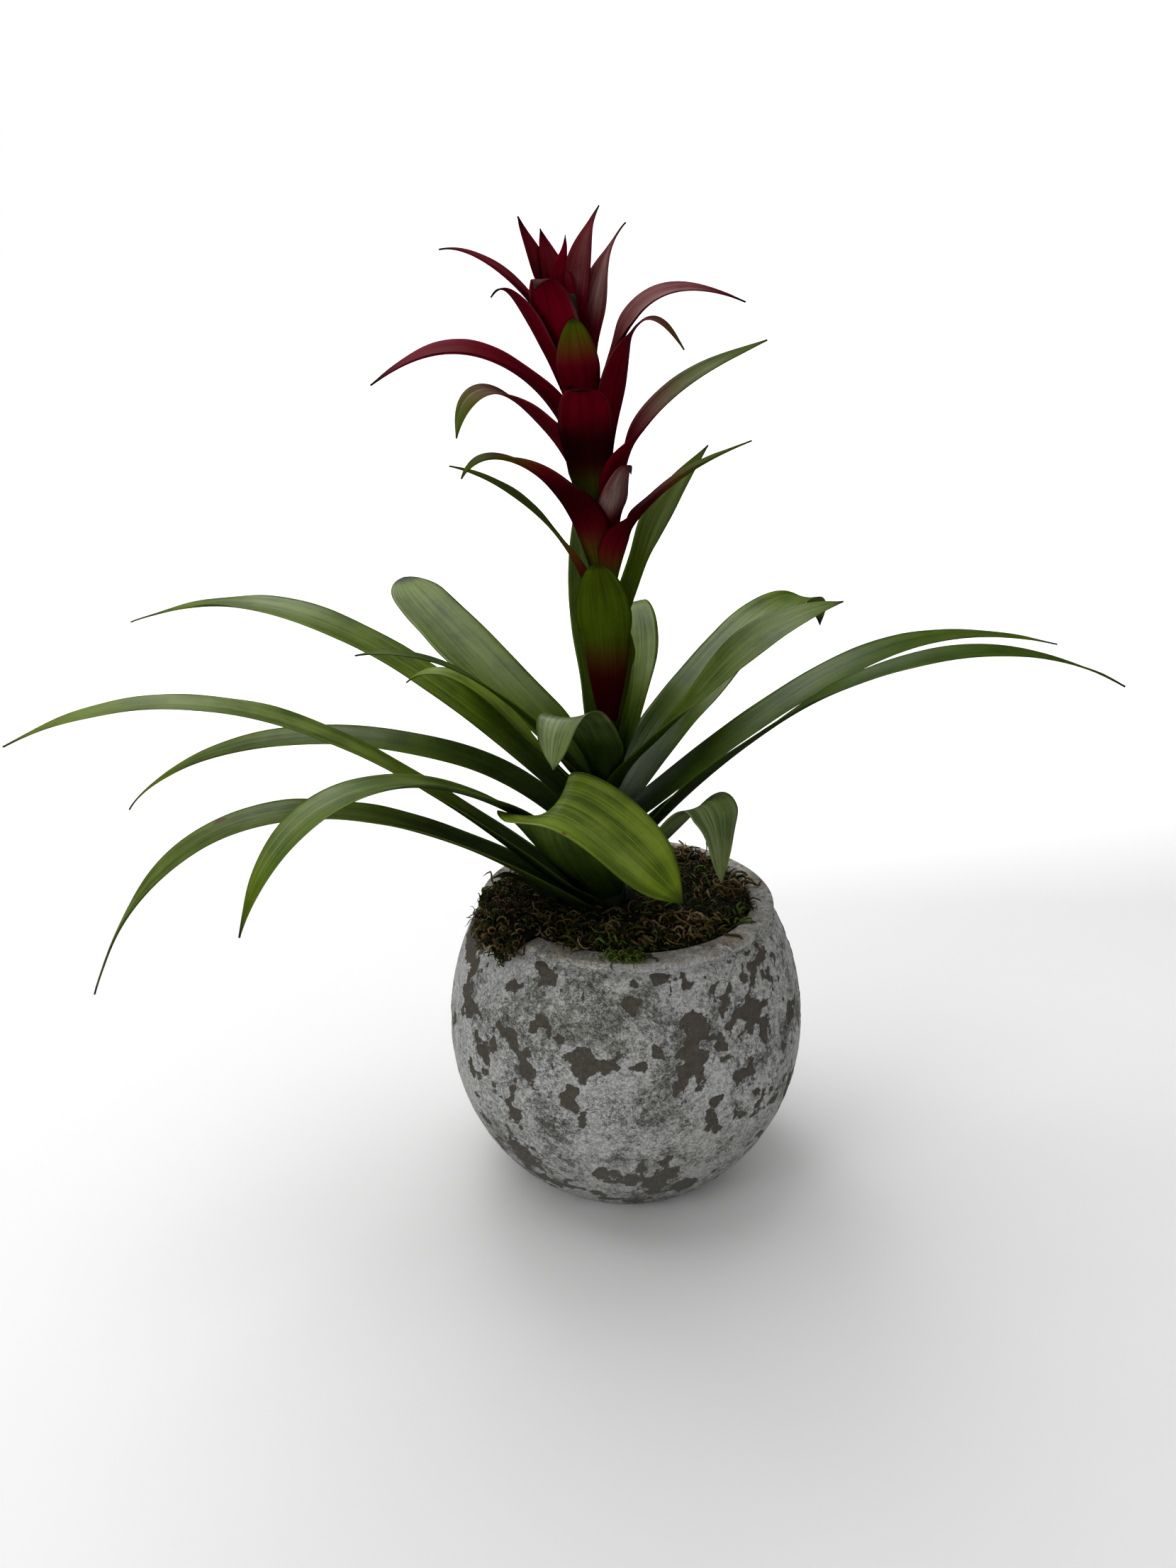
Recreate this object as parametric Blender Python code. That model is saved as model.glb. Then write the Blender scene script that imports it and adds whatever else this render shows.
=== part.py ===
"""A potted bromeliad: a globe pot with soil and moss, a rosette of strap leaves
and a tall spike of pointed red bracts. Metres, +Z up, origin at the middle of
the pot's flat foot, +X to the right of the plant's front view, which is -Y."""

import math

import bmesh
import bpy
import numpy as np

MM = 0.001

# Pot, in millimetres
POT_RADIUS = 90.0
POT_HEIGHT = 146.5
POT_WAIST_HEIGHT = 78.0
POT_UPPER_DOME = 107.0
POT_LOWER_DOME = 96.0
POT_WALL = 7.0
MOUTH_RADIUS = 61.8
POT_FLOOR = 9.0
POT_SIDES = 40
LIP_HEIGHT = 4.2
LIP_OVERHANG = 1.1
GROOVE_DEPTH = 0.9

# Soil, moss and the hole for the stem
GAP = 0.3
SOIL_TOP = 137.0
STEM_HOLE_DEPTH = 55.0
MOSS_TOP = 146.0
MOSS_HOLE = 22.0
MOSS_SIDES = 32
MOSS_STRANDS = 26
MOSS_STRAND_RADIUS = 1.0
MOSS_SEED = 7

# The moss that hangs over the left of the rim: first and last azimuth, and drop
CLUMP_START = 197.0
CLUMP_END = 228.0
CLUMP_DROP = 8.0
# The moss that lies on the rim beside it, and how far out it reaches over the lip
HEAP_START = 176.0
HEAP_END = 205.0
HEAP_REACH = 9.5

# Stem: thick at its foot, where the outer leaves grow; its axis bows to the left
STEM_RADIUS = 6.2
STEM_FOOT = 15.0
FOOT_TOP = 182.0
STALK_RADIUS = 3.8
STALK_START = 227.0
STALK_TOP = 424.0
AXIS_X = -10.0
AXIS_Y = -6.0
AXIS_BOW = 0.00055
AXIS_BOW_HEIGHT = 240.0

# Rosette: leaf bases nest like cones, the lowest outside
LEAF_START = 138.5
LEAF_STEP = 4.9
LEAF_FLARE = 0.32
LEAF_THICKNESS = 0.8
LEAF_BASE_WIDTH = 21.0
LEAF_BASE_WRAP = 3.2
LEAF_SEAT = 0.55
LEAF_CHANNEL = 46.0

# Spike: bract bases nest in the same way
BRACT_START = 284.0
BRACT_STEP = 6.9
BRACT_FLARE = 0.175
LOW_BRACT_FLARE = 0.19
BRACT_THICKNESS = 0.75
BRACT_BASE_WIDTH = 10.0
LOW_BRACT_BASE_WIDTH = 12.5
BRACT_CHANNEL = 30.0

# Share of a blade's length over which it swells from its base to its full width
SWELL = 0.3
# A blade tapers over its outer part by a power that grows with its width
TAPER_START = 0.5
TAPER_POWER = 2.2
TAPER_WIDTH = 24.0
TAPER_GAIN = 0.11

# Each leaf, from the lowest and outermost to the innermost:
# name, azimuth where it leaves the stem, length and outward curl of its sheath,
# azimuth, reach and height of its tip, dip of the tip, azimuth that the tip heads for,
# length of the start handle and of the tip handle, width, roll of the blade
LEAVES = (
    ("leaf_stub", 186, 11, 0.050, 200, 52, 166, 10, 204, 20, 12, 15, 0),
    ("leaf_low_left", 203, 12, 0.040, 203, 232, 145, 71, 188, 142, 84, 31, 4),
    ("leaf_long_left", 199, 14, 0.036, 197, 254, 250, 26, 193, 46, 118, 29, 0),
    ("leaf_front_wide", 242, 14, 0.030, 294, 86, 182, 38, 332, 68, 99, 45, 14),
    ("leaf_front_right", 324, 14, 0.028, 319, 72, 177, 84, 302, 34, 66, 29, 6),
    ("leaf_low_left_front", 218, 16, 0.025, 222, 188, 190, 74, 212, 131, 43, 33, 12),
    ("leaf_long_right_low", 350, 16, 0.025, 348, 226, 268, 27, 382, 24, 146, 25, 0),
    ("leaf_left_mid", 175, 16, 0.025, 182, 225, 197, 58, 185, 87, 46, 31, 0),
    ("leaf_long_right_high", 12, 20, 0.025, 12, 233, 264, 14, 12, 108, 82, 28, 0),
    ("leaf_back_left_far", 166, 20, 0.023, 168, 241, 275, 21, 168, 120, 75, 34, 0),
    ("leaf_back_right", 42, 18, 0.020, 42, 161, 261, 77, 42, 64, 50, 35, 0),
    ("leaf_back_left_mid", 196, 18, 0.018, 182, 92, 258, 40, 174, 28, 34, 18, 0),
    ("leaf_back_left_broad", 154, 18, 0.018, 136, 149, 288, -20, 108, 34, 24, 34, -12),
    ("leaf_left_narrow", 203, 18, 0.019, 203, 116, 281, 7, 200, 24, 46, 23, 0),
    ("leaf_right_rolled", 340, 20, 0.016, 352, 105, 298, -14, 356, 42, 46, 27, 22),
    ("leaf_front_curled", 242, 20, 0.010, 242, 51, 230, 85, 248, 37, 19, 31, 18),
    ("leaf_back_upright", 68, 20, 0.006, 86, 78, 270, 58, 88, 52, 28, 31, 0),
    ("leaf_tall_back", 100, 24, 0.003, 112, 42, 330, -72, 116, 24, 40, 21, 0),
)

# Each bract, lowest first: name, height of its base (None: the next step up),
# azimuth of its base, length and curl of its sheath, azimuth, reach and height of the tip,
# dip and azimuth of the tip, handles, width, roll
BRACTS = (
    ("bract_sheath_low", 228.0, 60, 34, 0.000, 62, 15, 288, -74, 62, 12, 10, 22, 0),
    ("bract_front_green", 239.5, 268, 37, 0.000, 252, 19, 315, -64, 250, 12, 10, 27, 0),
    ("bract_left_thin", None, 194, 20, 0.003, 194, 69, 356, -10, 190, 20, 30, 16, 0),
    ("bract_right_green", 268, 12, 30, 0.0038, 25, 50, 362, -45, 25, 26, 40, 25, 0),
    ("bract_right_low", None, 322, 20, 0.006, 350, 63, 366, -22, 354, 14, 40, 25, 0),
    ("bract_left_low", None, 227, 20, 0.004, 208, 67, 352, 66, 200, 32, 20, 29, 0),
    ("bract_front_right_fold", None, 306, 20, 0.004, 299, 24, 353, 60, 290, 14, 12, 15, 0),
    ("bract_right_mid", None, 336, 20, 0.004, 353, 69, 406, -22, 357, 18, 64, 26, 14),
    ("bract_front_point", None, 261, 26, 0.004, 261, 59, 387, 6, 260, 20, 26, 24, 0),
    ("bract_left_green_tip", None, 207, 20, 0.004, 208, 66, 368, 80, 205, 22, 40, 24, 0),
    ("bract_right_front", None, 313, 20, 0.003, 332, 40, 402, 56, 336, 14, 48, 18, 10),
    ("bract_left_big", None, 184, 20, 0.003, 184, 95, 388, 36, 184, 20, 56, 28, 0),
    ("bract_right_high", None, 354, 20, 0.005, 3, 64, 421, 20, 6, 8, 66, 25, 12),
    ("bract_front_upright", None, 268, 28, 0.003, 248, 20, 414, -72, 248, 8, 8, 19, 0),
    ("bract_left_high", None, 198, 20, 0.003, 198, 42, 422, 55, 198, 28, 14, 22, 0),
    ("bract_front_high", None, 236, 28, 0.002, 233, 34, 424, 60, 233, 18, 14, 24, 0),
    ("bract_back_right_low", None, 60, 18, 0.003, 30, 20, 452, -40, 20, 16, 15, 15, 0),
    ("bract_left_top", None, 172, 18, 0.003, 178, 59, 441, 12, 176, 16, 18, 24, 0),
    ("bract_back_right_top", None, 78, 18, 0.003, 62, 18, 459, -48, 46, 16, 16, 9, 0),
    ("bract_back_left_top", None, 156, 16, 0.003, 164, 25, 454, -64, 164, 10, 14, 17, 0),
    ("bract_back_top", None, 110, 18, 0.001, 134, 20, 450, -66, 134, 10, 14, 9, 0),
    ("bract_centre", None, 250, 12, 0.000, 250, 5, 446, -80, 250, 6, 8, 6, 0),
)

COLOURS = {
    "pot": (0.52, 0.49, 0.45),
    "soil": (0.035, 0.028, 0.022),
    "moss": (0.09, 0.095, 0.035),
    "stem": (0.10, 0.12, 0.03),
    "leaf": (0.055, 0.12, 0.03),
    "bract_red": (0.22, 0.02, 0.035),
    "bract_green": (0.14, 0.17, 0.035),
}
GREEN_BRACTS = ("bract_sheath_low", "bract_front_green", "bract_left_thin", "bract_right_green")


def smooth(x, low, high):
    """The smooth step of x from 0 at low to 1 at high."""
    t = np.clip((np.asarray(x, float) - low) / (high - low), 0.0, 1.0)
    return t * t * (3.0 - 2.0 * t)


def axis_x(z):
    """The stem axis at height z: a parabola that bows to the left above and below."""
    return AXIS_X - AXIS_BOW * (z - AXIS_BOW_HEIGHT) ** 2


def foot_share(z):
    """1 at the lowest leaf and below, 0 where the stem's thick foot has ended."""
    return min(max((FOOT_TOP - z) / (FOOT_TOP - LEAF_START), 0.0), 1.0)


def stem_radius(z):
    """The stem's radius below the stalk: a cone from its foot, then a cylinder."""
    return STEM_RADIUS + (STEM_FOOT - STEM_RADIUS) * foot_share(z)


def heading(azimuth):
    """The level unit vector at an azimuth in degrees."""
    a = math.radians(azimuth)
    return np.array([math.cos(a), math.sin(a), 0.0])


def material(name, roughness=0.6):
    """A plain material in one of the part's colours."""
    made = bpy.data.materials.new(name)
    made.use_nodes = True
    shader = made.node_tree.nodes["Principled BSDF"]
    shader.inputs["Base Color"].default_value = (*COLOURS[name], 1.0)
    shader.inputs["Roughness"].default_value = roughness
    shader.inputs["Metallic"].default_value = 0.0
    made.diffuse_color = (*COLOURS[name], 1.0)
    return made


def make_object(name, points, faces, slot, smooth_shading=True):
    """A mesh object from points in millimetres."""
    mesh = bpy.data.meshes.new(name)
    mesh.from_pydata((np.asarray(points) * MM).tolist(), [], [list(map(int, f)) for f in faces])
    mesh.validate()
    mesh.materials.append(slot)
    if smooth_shading:
        mesh.shade_smooth()
    made = bpy.data.objects.new(name, mesh)
    bpy.context.scene.collection.objects.link(made)
    return made


def turned(profile, sides):
    """Points and faces of a closed outline (radius, height) turned about Z.
    Outline points on the axis become one vertex each; the outline runs so that
    the solid lies to its left going round."""
    angles = np.arange(sides) * 2.0 * math.pi / sides
    points = []
    rows = []
    for radius, height in profile:
        if radius < 1e-9:
            rows.append([len(points)] * sides)
            points.append((0.0, 0.0, height))
            continue
        rows.append(list(range(len(points), len(points) + sides)))
        points += [(radius * math.cos(a), radius * math.sin(a), height) for a in angles]
    faces = []
    closed = profile[0][0] > 1e-9 or profile[-1][0] > 1e-9
    count = len(rows) if closed else len(rows) - 1
    for i in range(count):
        low, high = rows[i], rows[(i + 1) % len(rows)]
        for j in range(sides):
            k = (j + 1) % sides
            if low[j] == low[k]:
                faces.append((low[j], high[k], high[j]))
            elif high[j] == high[k]:
                faces.append((low[j], low[k], high[j]))
            else:
                faces.append((low[j], low[k], high[k]))
                faces.append((low[j], high[k], high[j]))
    return points, faces


def pot_radius(z):
    """The globe's outer radius at height z: two half domes that meet at the waist."""
    dome = POT_UPPER_DOME if z > POT_WAIST_HEIGHT else POT_LOWER_DOME
    return POT_RADIUS * math.sqrt(1.0 - ((z - POT_WAIST_HEIGHT) / dome) ** 2)


def pot_inner(z):
    """The inside radius at height z."""
    return pot_radius(z) - POT_WALL


def make_pot(slot):
    """The globe with its flat foot, its lip and the groove under it."""
    neck = POT_HEIGHT - LIP_HEIGHT
    outer = [(pot_radius(z), z) for z in (3.0, 14.0, 30.0, 48.0, 66.0, 84.0, 102.0, 119.0, 133.0)]
    inner = [(pot_inner(z), z) for z in (136.0, 118.0, 96.0, 72.0, 48.0, 26.0)]
    foot = pot_radius(0.0)
    lip = pot_radius(neck) + LIP_OVERHANG
    profile = [(0.0, 0.0), (foot - 1.5, 0.0)] + outer
    profile += [(pot_radius(neck - 1.4) - GROOVE_DEPTH, neck - 1.4), (lip, neck)]
    profile += [(lip - 0.6, POT_HEIGHT - 1.2), (lip - 2.4, POT_HEIGHT)]
    profile += [(MOUTH_RADIUS + 0.8, POT_HEIGHT), (MOUTH_RADIUS, POT_HEIGHT - 1.0)]
    profile += [(MOUTH_RADIUS + 0.4, neck - 1.0)] + inner
    profile += [(pot_inner(POT_FLOOR) - 4.0, POT_FLOOR), (0.0, POT_FLOOR)]
    points, faces = turned(profile, POT_SIDES)
    return make_object("pot", points, faces, slot)


def make_soil(slot):
    """The potting mix: it fills the pot a gap clear of the wall, with a plain hole."""
    profile = [(0.0, POT_FLOOR + GAP), (pot_inner(POT_FLOOR) - 4.0 - GAP, POT_FLOOR + GAP)]
    profile += [(pot_inner(z) - GAP - 0.1, z) for z in (26.0, 48.0, 72.0, 96.0, 118.0)]
    profile += [(pot_inner(SOIL_TOP - 2.0) - GAP - 0.1, SOIL_TOP - 2.0)]
    profile += [(pot_inner(SOIL_TOP) - 4.0, SOIL_TOP), (0.0, SOIL_TOP)]
    points, faces = turned(profile, POT_SIDES)
    soil = make_object("soil", points, faces, slot)
    hole = [(0.0, SOIL_TOP - STEM_HOLE_DEPTH), (STEM_RADIUS + GAP, SOIL_TOP - STEM_HOLE_DEPTH)]
    hole += [(STEM_RADIUS + GAP, SOIL_TOP + 5.0), (0.0, SOIL_TOP + 5.0)]
    points, faces = turned(hole, 20)
    points = np.array(points) + [axis_x(SOIL_TOP), AXIS_Y, 0.0]
    cutter = make_object("soil_hole", points, faces, slot)
    boolean(soil, cutter, "DIFFERENCE")
    return soil


def boolean(target, cutter, operation, solver="EXACT"):
    """Applies one Boolean of a cutter to the target and removes the cutter."""
    cutter.hide_render = True
    cutter.display_type = "WIRE"
    step = target.modifiers.new("cut", "BOOLEAN")
    step.operation = operation
    step.solver = solver
    step.object = cutter
    bpy.context.view_layer.update()
    with bpy.context.temp_override(object=target, active_object=target):
        bpy.ops.object.modifier_apply(modifier=step.name)
    bpy.data.objects.remove(cutter)


def strip(rows, thickness):
    """Points and faces of a blade: rows is a grid of points, station by station.
    Each face lies half the thickness off the grid along its normals; both are
    split along the same diagonals. Rows run so that the first face looks up."""
    along = np.gradient(rows, axis=0)
    across = np.gradient(rows, axis=1)
    normal = np.cross(along, across)
    normal /= np.linalg.norm(normal, axis=2)[:, :, None]
    half = thickness / 2.0
    count, columns = rows.shape[:2]
    points = np.concatenate([(rows + normal * half).reshape(-1, 3), (rows - normal * half).reshape(-1, 3)])
    under = count * columns
    faces = []
    for i in range(count - 1):
        for j in range(columns - 1):
            a = i * columns + j
            b, c, d = a + 1, a + columns + 1, a + columns
            middle = j < (columns - 1) / 2
            pairs = ((a, d, c), (a, c, b)) if middle else ((a, d, b), (b, d, c))
            for x, y, z in pairs:
                faces.append((x, y, z))
                faces.append((x + under, z + under, y + under))
        left, right = i * columns, i * columns + columns - 1
        for a, d in ((left + columns, left), (right, right + columns)):
            faces.append((a, d, d + under))
            faces.append((a, d + under, a + under))
    last = (count - 1) * columns
    for j in range(columns - 1):
        for a, d in ((j, j + 1), (last + j + 1, last + j)):
            faces.append((a, d, d + under))
            faces.append((a, d + under, a + under))
    return points, faces


def blade_rows(base, azimuth, flare, stem, sheath, curl, tip, dip, head, handles, width,
               base_width, channel, roll, counts):
    """The middle surface of a leaf or bract as a grid of points.
    The sheath is a funnel about the stem axis whose radius grows with height by
    the flare and with its square by the curl, so the funnels nest; the blade
    follows a cubic curve from the sheath's end to the tip. Across, each station is
    an arc: it wraps the stem in the sheath and opens to a shallow channel in the
    blade. The width swells to the middle and tapers to a point."""
    out = heading(azimuth)
    side = heading(azimuth + 90.0)
    lean = np.array([*(out[:2] * (flare + 2.0 * curl * sheath)), 1.0])
    lean[0] -= 2.0 * AXIS_BOW * (base + sheath - AXIS_BOW_HEIGHT)
    lean /= np.linalg.norm(lean)
    low = np.linspace(base, base + sheath, counts[0])
    radius = stem + flare * (low - base) + curl * (low - base) ** 2
    centre = np.stack([axis_x(low), np.full_like(low, AXIS_Y), low], axis=1) + out * radius[:, None]
    start = centre[-1]
    reach, height, tip_azimuth = tip
    end = np.array([axis_x(base), AXIS_Y, 0.0]) + heading(tip_azimuth) * reach + [0, 0, height]
    d = math.radians(dip)
    finish = heading(head) * math.cos(d) - np.array([0.0, 0.0, math.sin(d)])
    t = np.linspace(0.0, 1.0, counts[1] + 1)[:, None]
    one = start + lean * handles[0]
    two = end - finish * handles[1]
    curve = start * (1 - t) ** 3 + 3 * one * t * (1 - t) ** 2 + 3 * two * t ** 2 * (1 - t) + end * t ** 3
    along = 3 * (one - start) * (1 - t) ** 2 + 6 * (two - one) * t * (1 - t) + 3 * (end - two) * t ** 2
    along /= np.linalg.norm(along, axis=1)[:, None]
    centre = np.concatenate([centre, curve[1:]])
    step = np.concatenate([[0.0], np.cumsum(np.linalg.norm(np.diff(centre, axis=0), axis=1))])
    u = step / step[-1]
    first = counts[0] - 1
    blade = (step - step[first]) / (step[-1] - step[first])
    sides = [side] * counts[0]
    bends = [-out] * counts[0]
    for i in range(1, counts[1] + 1):
        tangent = along[i]
        level = np.array([-tangent[1], tangent[0], 0.0])
        size = float(np.linalg.norm(level))
        share = float(smooth(size, 0.2, 0.6) * smooth(i / counts[1], 0.0, 0.35))
        current = side * (1.0 - share) + level * share / max(size, 1e-6)
        current = current - tangent * float(current @ tangent)
        current /= np.linalg.norm(current)
        turn = math.radians(roll) * float(smooth(i / counts[1], 0.0, 0.7))
        normal = np.cross(tangent, current)
        sides.append(current * math.cos(turn) + normal * math.sin(turn))
        up = normal * math.cos(turn) - current * math.sin(turn)
        share = float(smooth(i / counts[1], 0.0, 0.3))
        mixed = -out * (1 - share) + up * share
        bends.append(mixed / np.linalg.norm(mixed))
    opened = smooth(blade, 0.0, 0.38)
    full = np.concatenate([radius, np.full(counts[1], radius[-1])])
    curvature = (1 - opened) / full + opened / channel
    swell = base_width + (width - base_width) * smooth(u, 0.0, SWELL)
    power = max(TAPER_POWER + TAPER_GAIN * (width - TAPER_WIDTH), 1.5)
    taper = 1.0 - np.clip((u - TAPER_START) / (1.0 - TAPER_START), 0.0, 1.0) ** power
    half = np.maximum(swell * taper, 1.3) / 2.0
    columns = np.linspace(-1.0, 1.0, counts[2])
    q = half[:, None] * columns[None, :]
    bend = curvature[:, None] * q
    x = np.sin(bend) / curvature[:, None]
    y = (1 - np.cos(bend)) / curvature[:, None]
    across = np.array(sides)[:, None] * x[:, :, None]
    return centre[:, None] + across + np.array(bends)[:, None] * y[:, :, None]


def leaf_rows(index, counts=(3, 10, 6)):
    """The grid of one rosette leaf. Low leaves sit on the thick foot, a little
    further off it, because their flat facets cut its corners, and wrap more of it."""
    azimuth, sheath, curl, tip_azimuth, reach, height, dip, head, h1, h2, width, roll = LEAVES[index][1:]
    base = LEAF_START + LEAF_STEP * index
    seat = stem_radius(base) + GAP + LEAF_THICKNESS / 2 + LEAF_SEAT * foot_share(base)
    return blade_rows(base, azimuth, LEAF_FLARE, seat, sheath, curl, (reach, height, tip_azimuth), dip,
                      head, (h1, h2), width, max(LEAF_BASE_WIDTH, LEAF_BASE_WRAP * seat), LEAF_CHANNEL,
                      roll, counts)


def bract_rows(index, counts=(3, 7, 5)):
    """The grid of one bract."""
    base, azimuth, sheath, curl, tip_azimuth, reach, height, dip = BRACTS[index][1:9]
    head, h1, h2, width, roll = BRACTS[index][9:]
    flare, base_width = BRACT_FLARE, BRACT_BASE_WIDTH
    if base is None:
        base = BRACT_START + BRACT_STEP * (index - 2)
    else:
        flare, base_width = LOW_BRACT_FLARE, LOW_BRACT_BASE_WIDTH
    return blade_rows(base, azimuth, flare, STALK_RADIUS + GAP + BRACT_THICKNESS / 2, sheath, curl,
                      (reach, height, tip_azimuth), dip, head, (h1, h2), width, base_width,
                      BRACT_CHANNEL, roll, counts)


def tube(path, radii, sides):
    """Points and faces of a closed tube along a path of points."""
    path = np.asarray(path, float)
    along = np.gradient(path, axis=0)
    along /= np.linalg.norm(along, axis=1)[:, None]
    reference = np.array([0.3, 0.9, 0.1])
    points = []
    for centre, tangent, radius in zip(path, along, radii):
        a = np.cross(tangent, reference)
        a /= np.linalg.norm(a)
        b = np.cross(tangent, a)
        for k in range(sides):
            angle = 2.0 * math.pi * k / sides
            points.append(centre + radius * (a * math.cos(angle) + b * math.sin(angle)))
    faces = []
    for i in range(len(path) - 1):
        for k in range(sides):
            m = (k + 1) % sides
            p, q = i * sides, (i + 1) * sides
            faces.append((p + k, p + m, q + m))
            faces.append((p + k, q + m, q + k))
    last = (len(path) - 1) * sides
    for k in range(1, sides - 1):
        faces.append((0, k + 1, k))
        faces.append((last, last + k, last + k + 1))
    return points, faces


def make_stem(slot):
    """The short stem in the soil and the flower stalk that rises from it."""
    heights = [SOIL_TOP - STEM_HOLE_DEPTH + GAP, SOIL_TOP + GAP, SOIL_TOP + GAP + 0.1, LEAF_START, 150.0]
    heights += [160.0, 170.0, FOOT_TOP, 200.0, STALK_START - 6.0, STALK_START]
    heights += list(np.linspace(250.0, STALK_TOP, 8))
    path = []
    for z in heights:
        path.append((axis_x(max(z, SOIL_TOP)), AXIS_Y, z))
    radii = [stem_radius(z) if z < STALK_START - 1.0 else STALK_RADIUS for z in heights]
    radii[0], radii[1] = STEM_RADIUS * 0.8, STEM_RADIUS
    points, faces = level_tube(path, radii, 16)
    return make_object("stem", points, faces, slot)


def level_tube(path, radii, sides):
    """A tube whose rings all lie level, so it nests inside the cones about its axis."""
    points = []
    for (x, y, z), radius in zip(path, radii):
        for k in range(sides):
            angle = 2.0 * math.pi * k / sides
            points.append((x + radius * math.cos(angle), y + radius * math.sin(angle), z))
    faces = []
    for i in range(len(path) - 1):
        for k in range(sides):
            m = (k + 1) % sides
            p, q = i * sides, (i + 1) * sides
            faces.append((p + k, p + m, q + m))
            faces.append((p + k, q + m, q + k))
    last = (len(path) - 1) * sides
    for k in range(1, sides - 1):
        faces.append((0, k + 1, k))
        faces.append((last, last + k, last + k + 1))
    return points, faces


def moss_pad():
    """The moss on the soil: a ring with a bumpy top about the plain hole for the
    leaf bases. Each spoke runs from the hole's edge to the mouth."""
    random = np.random.default_rng(MOSS_SEED)
    centre = np.array([axis_x(MOSS_TOP), AXIS_Y])
    angles = np.arange(MOSS_SIDES) * 2.0 * math.pi / MOSS_SIDES
    rays = np.stack([np.cos(angles), np.sin(angles)], axis=1)
    inner = centre + rays * MOSS_HOLE
    outer = rays * (MOUTH_RADIUS - 2.0 * GAP)
    shares = (0.0, 0.04, 0.3, 0.55, 0.8, 1.0)
    bumps = random.uniform(-1.8, 2.6, (len(shares), MOSS_SIDES))
    bumps[0] = bumps[1] = -1.0
    points = []
    for share, bump in zip(shares, bumps):
        flat = inner * (1.0 - share) + outer * share
        points.append(np.column_stack([flat, MOSS_TOP + bump]))
    for share in (1.0, 0.0):
        flat = inner * (1.0 - share) + outer * share
        points.append(np.column_stack([flat, np.full(MOSS_SIDES, SOIL_TOP + GAP)]))
    rows = len(points)
    faces = []
    for i in range(rows):
        for j in range(MOSS_SIDES):
            k = (j + 1) % MOSS_SIDES
            a, b = i * MOSS_SIDES + j, i * MOSS_SIDES + k
            c, d = ((i + 1) % rows) * MOSS_SIDES + k, ((i + 1) % rows) * MOSS_SIDES + j
            faces.append((a, d, c))
            faces.append((a, c, b))
    return np.concatenate(points), faces


def clump_section(share):
    """The outline of the overhanging moss at one azimuth, as (radius, height): up
    from inside the mouth, over the lip and down outside by a share of the drop."""
    rim = POT_HEIGHT + 0.6
    lip = pot_radius(POT_HEIGHT - LIP_HEIGHT) + LIP_OVERHANG + 0.7
    down = CLUMP_DROP * share
    top = 0.4 + 0.6 * share
    return ((50.0, MOSS_TOP - 3.0), (MOUTH_RADIUS - 1.0, MOSS_TOP - 5.0), (MOUTH_RADIUS - 0.6, rim),
            (lip, rim), (lip + 0.3, rim - 0.5 * down), (lip + 1.3 * share + 0.2, rim - down),
            (lip + 2.2 * share + 0.6, rim - 1.2 * down), (lip + 3.4 * share + 0.8, rim - 0.8 * down),
            (lip + 3.4 * share + 0.8, rim - 0.2 * down), (lip + 1.6 * share + 0.4, rim + 2.6 * top),
            (67.0, rim + 5.2 * top), (58.0, rim + 4.6 * top), (50.0, rim + 1.0))


def heap_section(share):
    """The outline of the moss on the rim at one azimuth, as (radius, height)."""
    rim = POT_HEIGHT + 0.6
    out = MOUTH_RADIUS - 0.6 + HEAP_REACH * share
    return ((52.0, MOSS_TOP - 4.0), (MOUTH_RADIUS - 1.0, MOSS_TOP - 5.0), (MOUTH_RADIUS - 0.6, rim),
            (out, rim), (out + 0.3, rim + 0.8), (out - 2.8 * share, rim + 1.2 + 2.5 * share),
            (58.0, rim + 2.0 + 2.0 * share), (50.0, rim + 1.0))


def swept(sections, azimuths, fan):
    """Points and faces of outlines carried about Z, with both ends closed by a fan."""
    points = []
    for section, azimuth in zip(sections, np.radians(azimuths)):
        r, z = np.array(section).T
        points.append(np.column_stack([r * math.cos(azimuth), r * math.sin(azimuth), z]))
    count = len(points[0])
    faces = []
    for i in range(len(points) - 1):
        for j in range(count):
            k = (j + 1) % count
            a, b, c, d = i * count + j, i * count + k, (i + 1) * count + k, (i + 1) * count + j
            faces.append((a, c, b))
            faces.append((a, d, c))
    last = (len(points) - 1) * count
    for a, b, c in fan:
        faces.append((a, b, c))
        faces.append((last + a, last + c, last + b))
    return np.concatenate(points), faces


def moss_heap():
    """The moss that lies on the rim: its outline swept about Z."""
    shares = [0.1 + 0.9 * math.sin(math.pi * i / 8.0) ** 0.7 for i in range(9)]
    fan = [(7, i, i + 1) for i in range(6)]
    return swept([heap_section(share) for share in shares], np.linspace(HEAP_START, HEAP_END, 9), fan)


def moss_clump():
    """The overhanging moss: its outline swept about Z, thick in the middle."""
    random = np.random.default_rng(MOSS_SEED + 1)
    sections = []
    for i in range(13):
        share = 0.12 + 0.88 * math.sin(math.pi * i / 12.0) ** 0.6
        section = np.array(clump_section(share))
        section[7:12] += random.uniform(-0.3, 1.2, (5, 1)) * [0.7, 0.7] * share
        sections.append(section)
    fan = ((0, 1, 2), (0, 2, 12), (12, 2, 11), (11, 2, 10), (10, 2, 3), (10, 3, 9), (9, 3, 4),
           (9, 4, 8), (8, 4, 7), (7, 4, 5), (7, 5, 6))
    return swept(sections, np.linspace(CLUMP_START, CLUMP_END, 13), fan)


def hole_reach(angle):
    """How far from the pot's axis a strand at an angle starts, to be 4 mm clear of
    the hole for the leaf bases: where the ray meets the circle about the stem."""
    centre = np.array([axis_x(MOSS_TOP), AXIS_Y])
    along = float(centre @ [math.cos(angle), math.sin(angle)])
    return along + math.sqrt(along ** 2 - float(centre @ centre) + (MOSS_HOLE + 4.0) ** 2)


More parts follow.
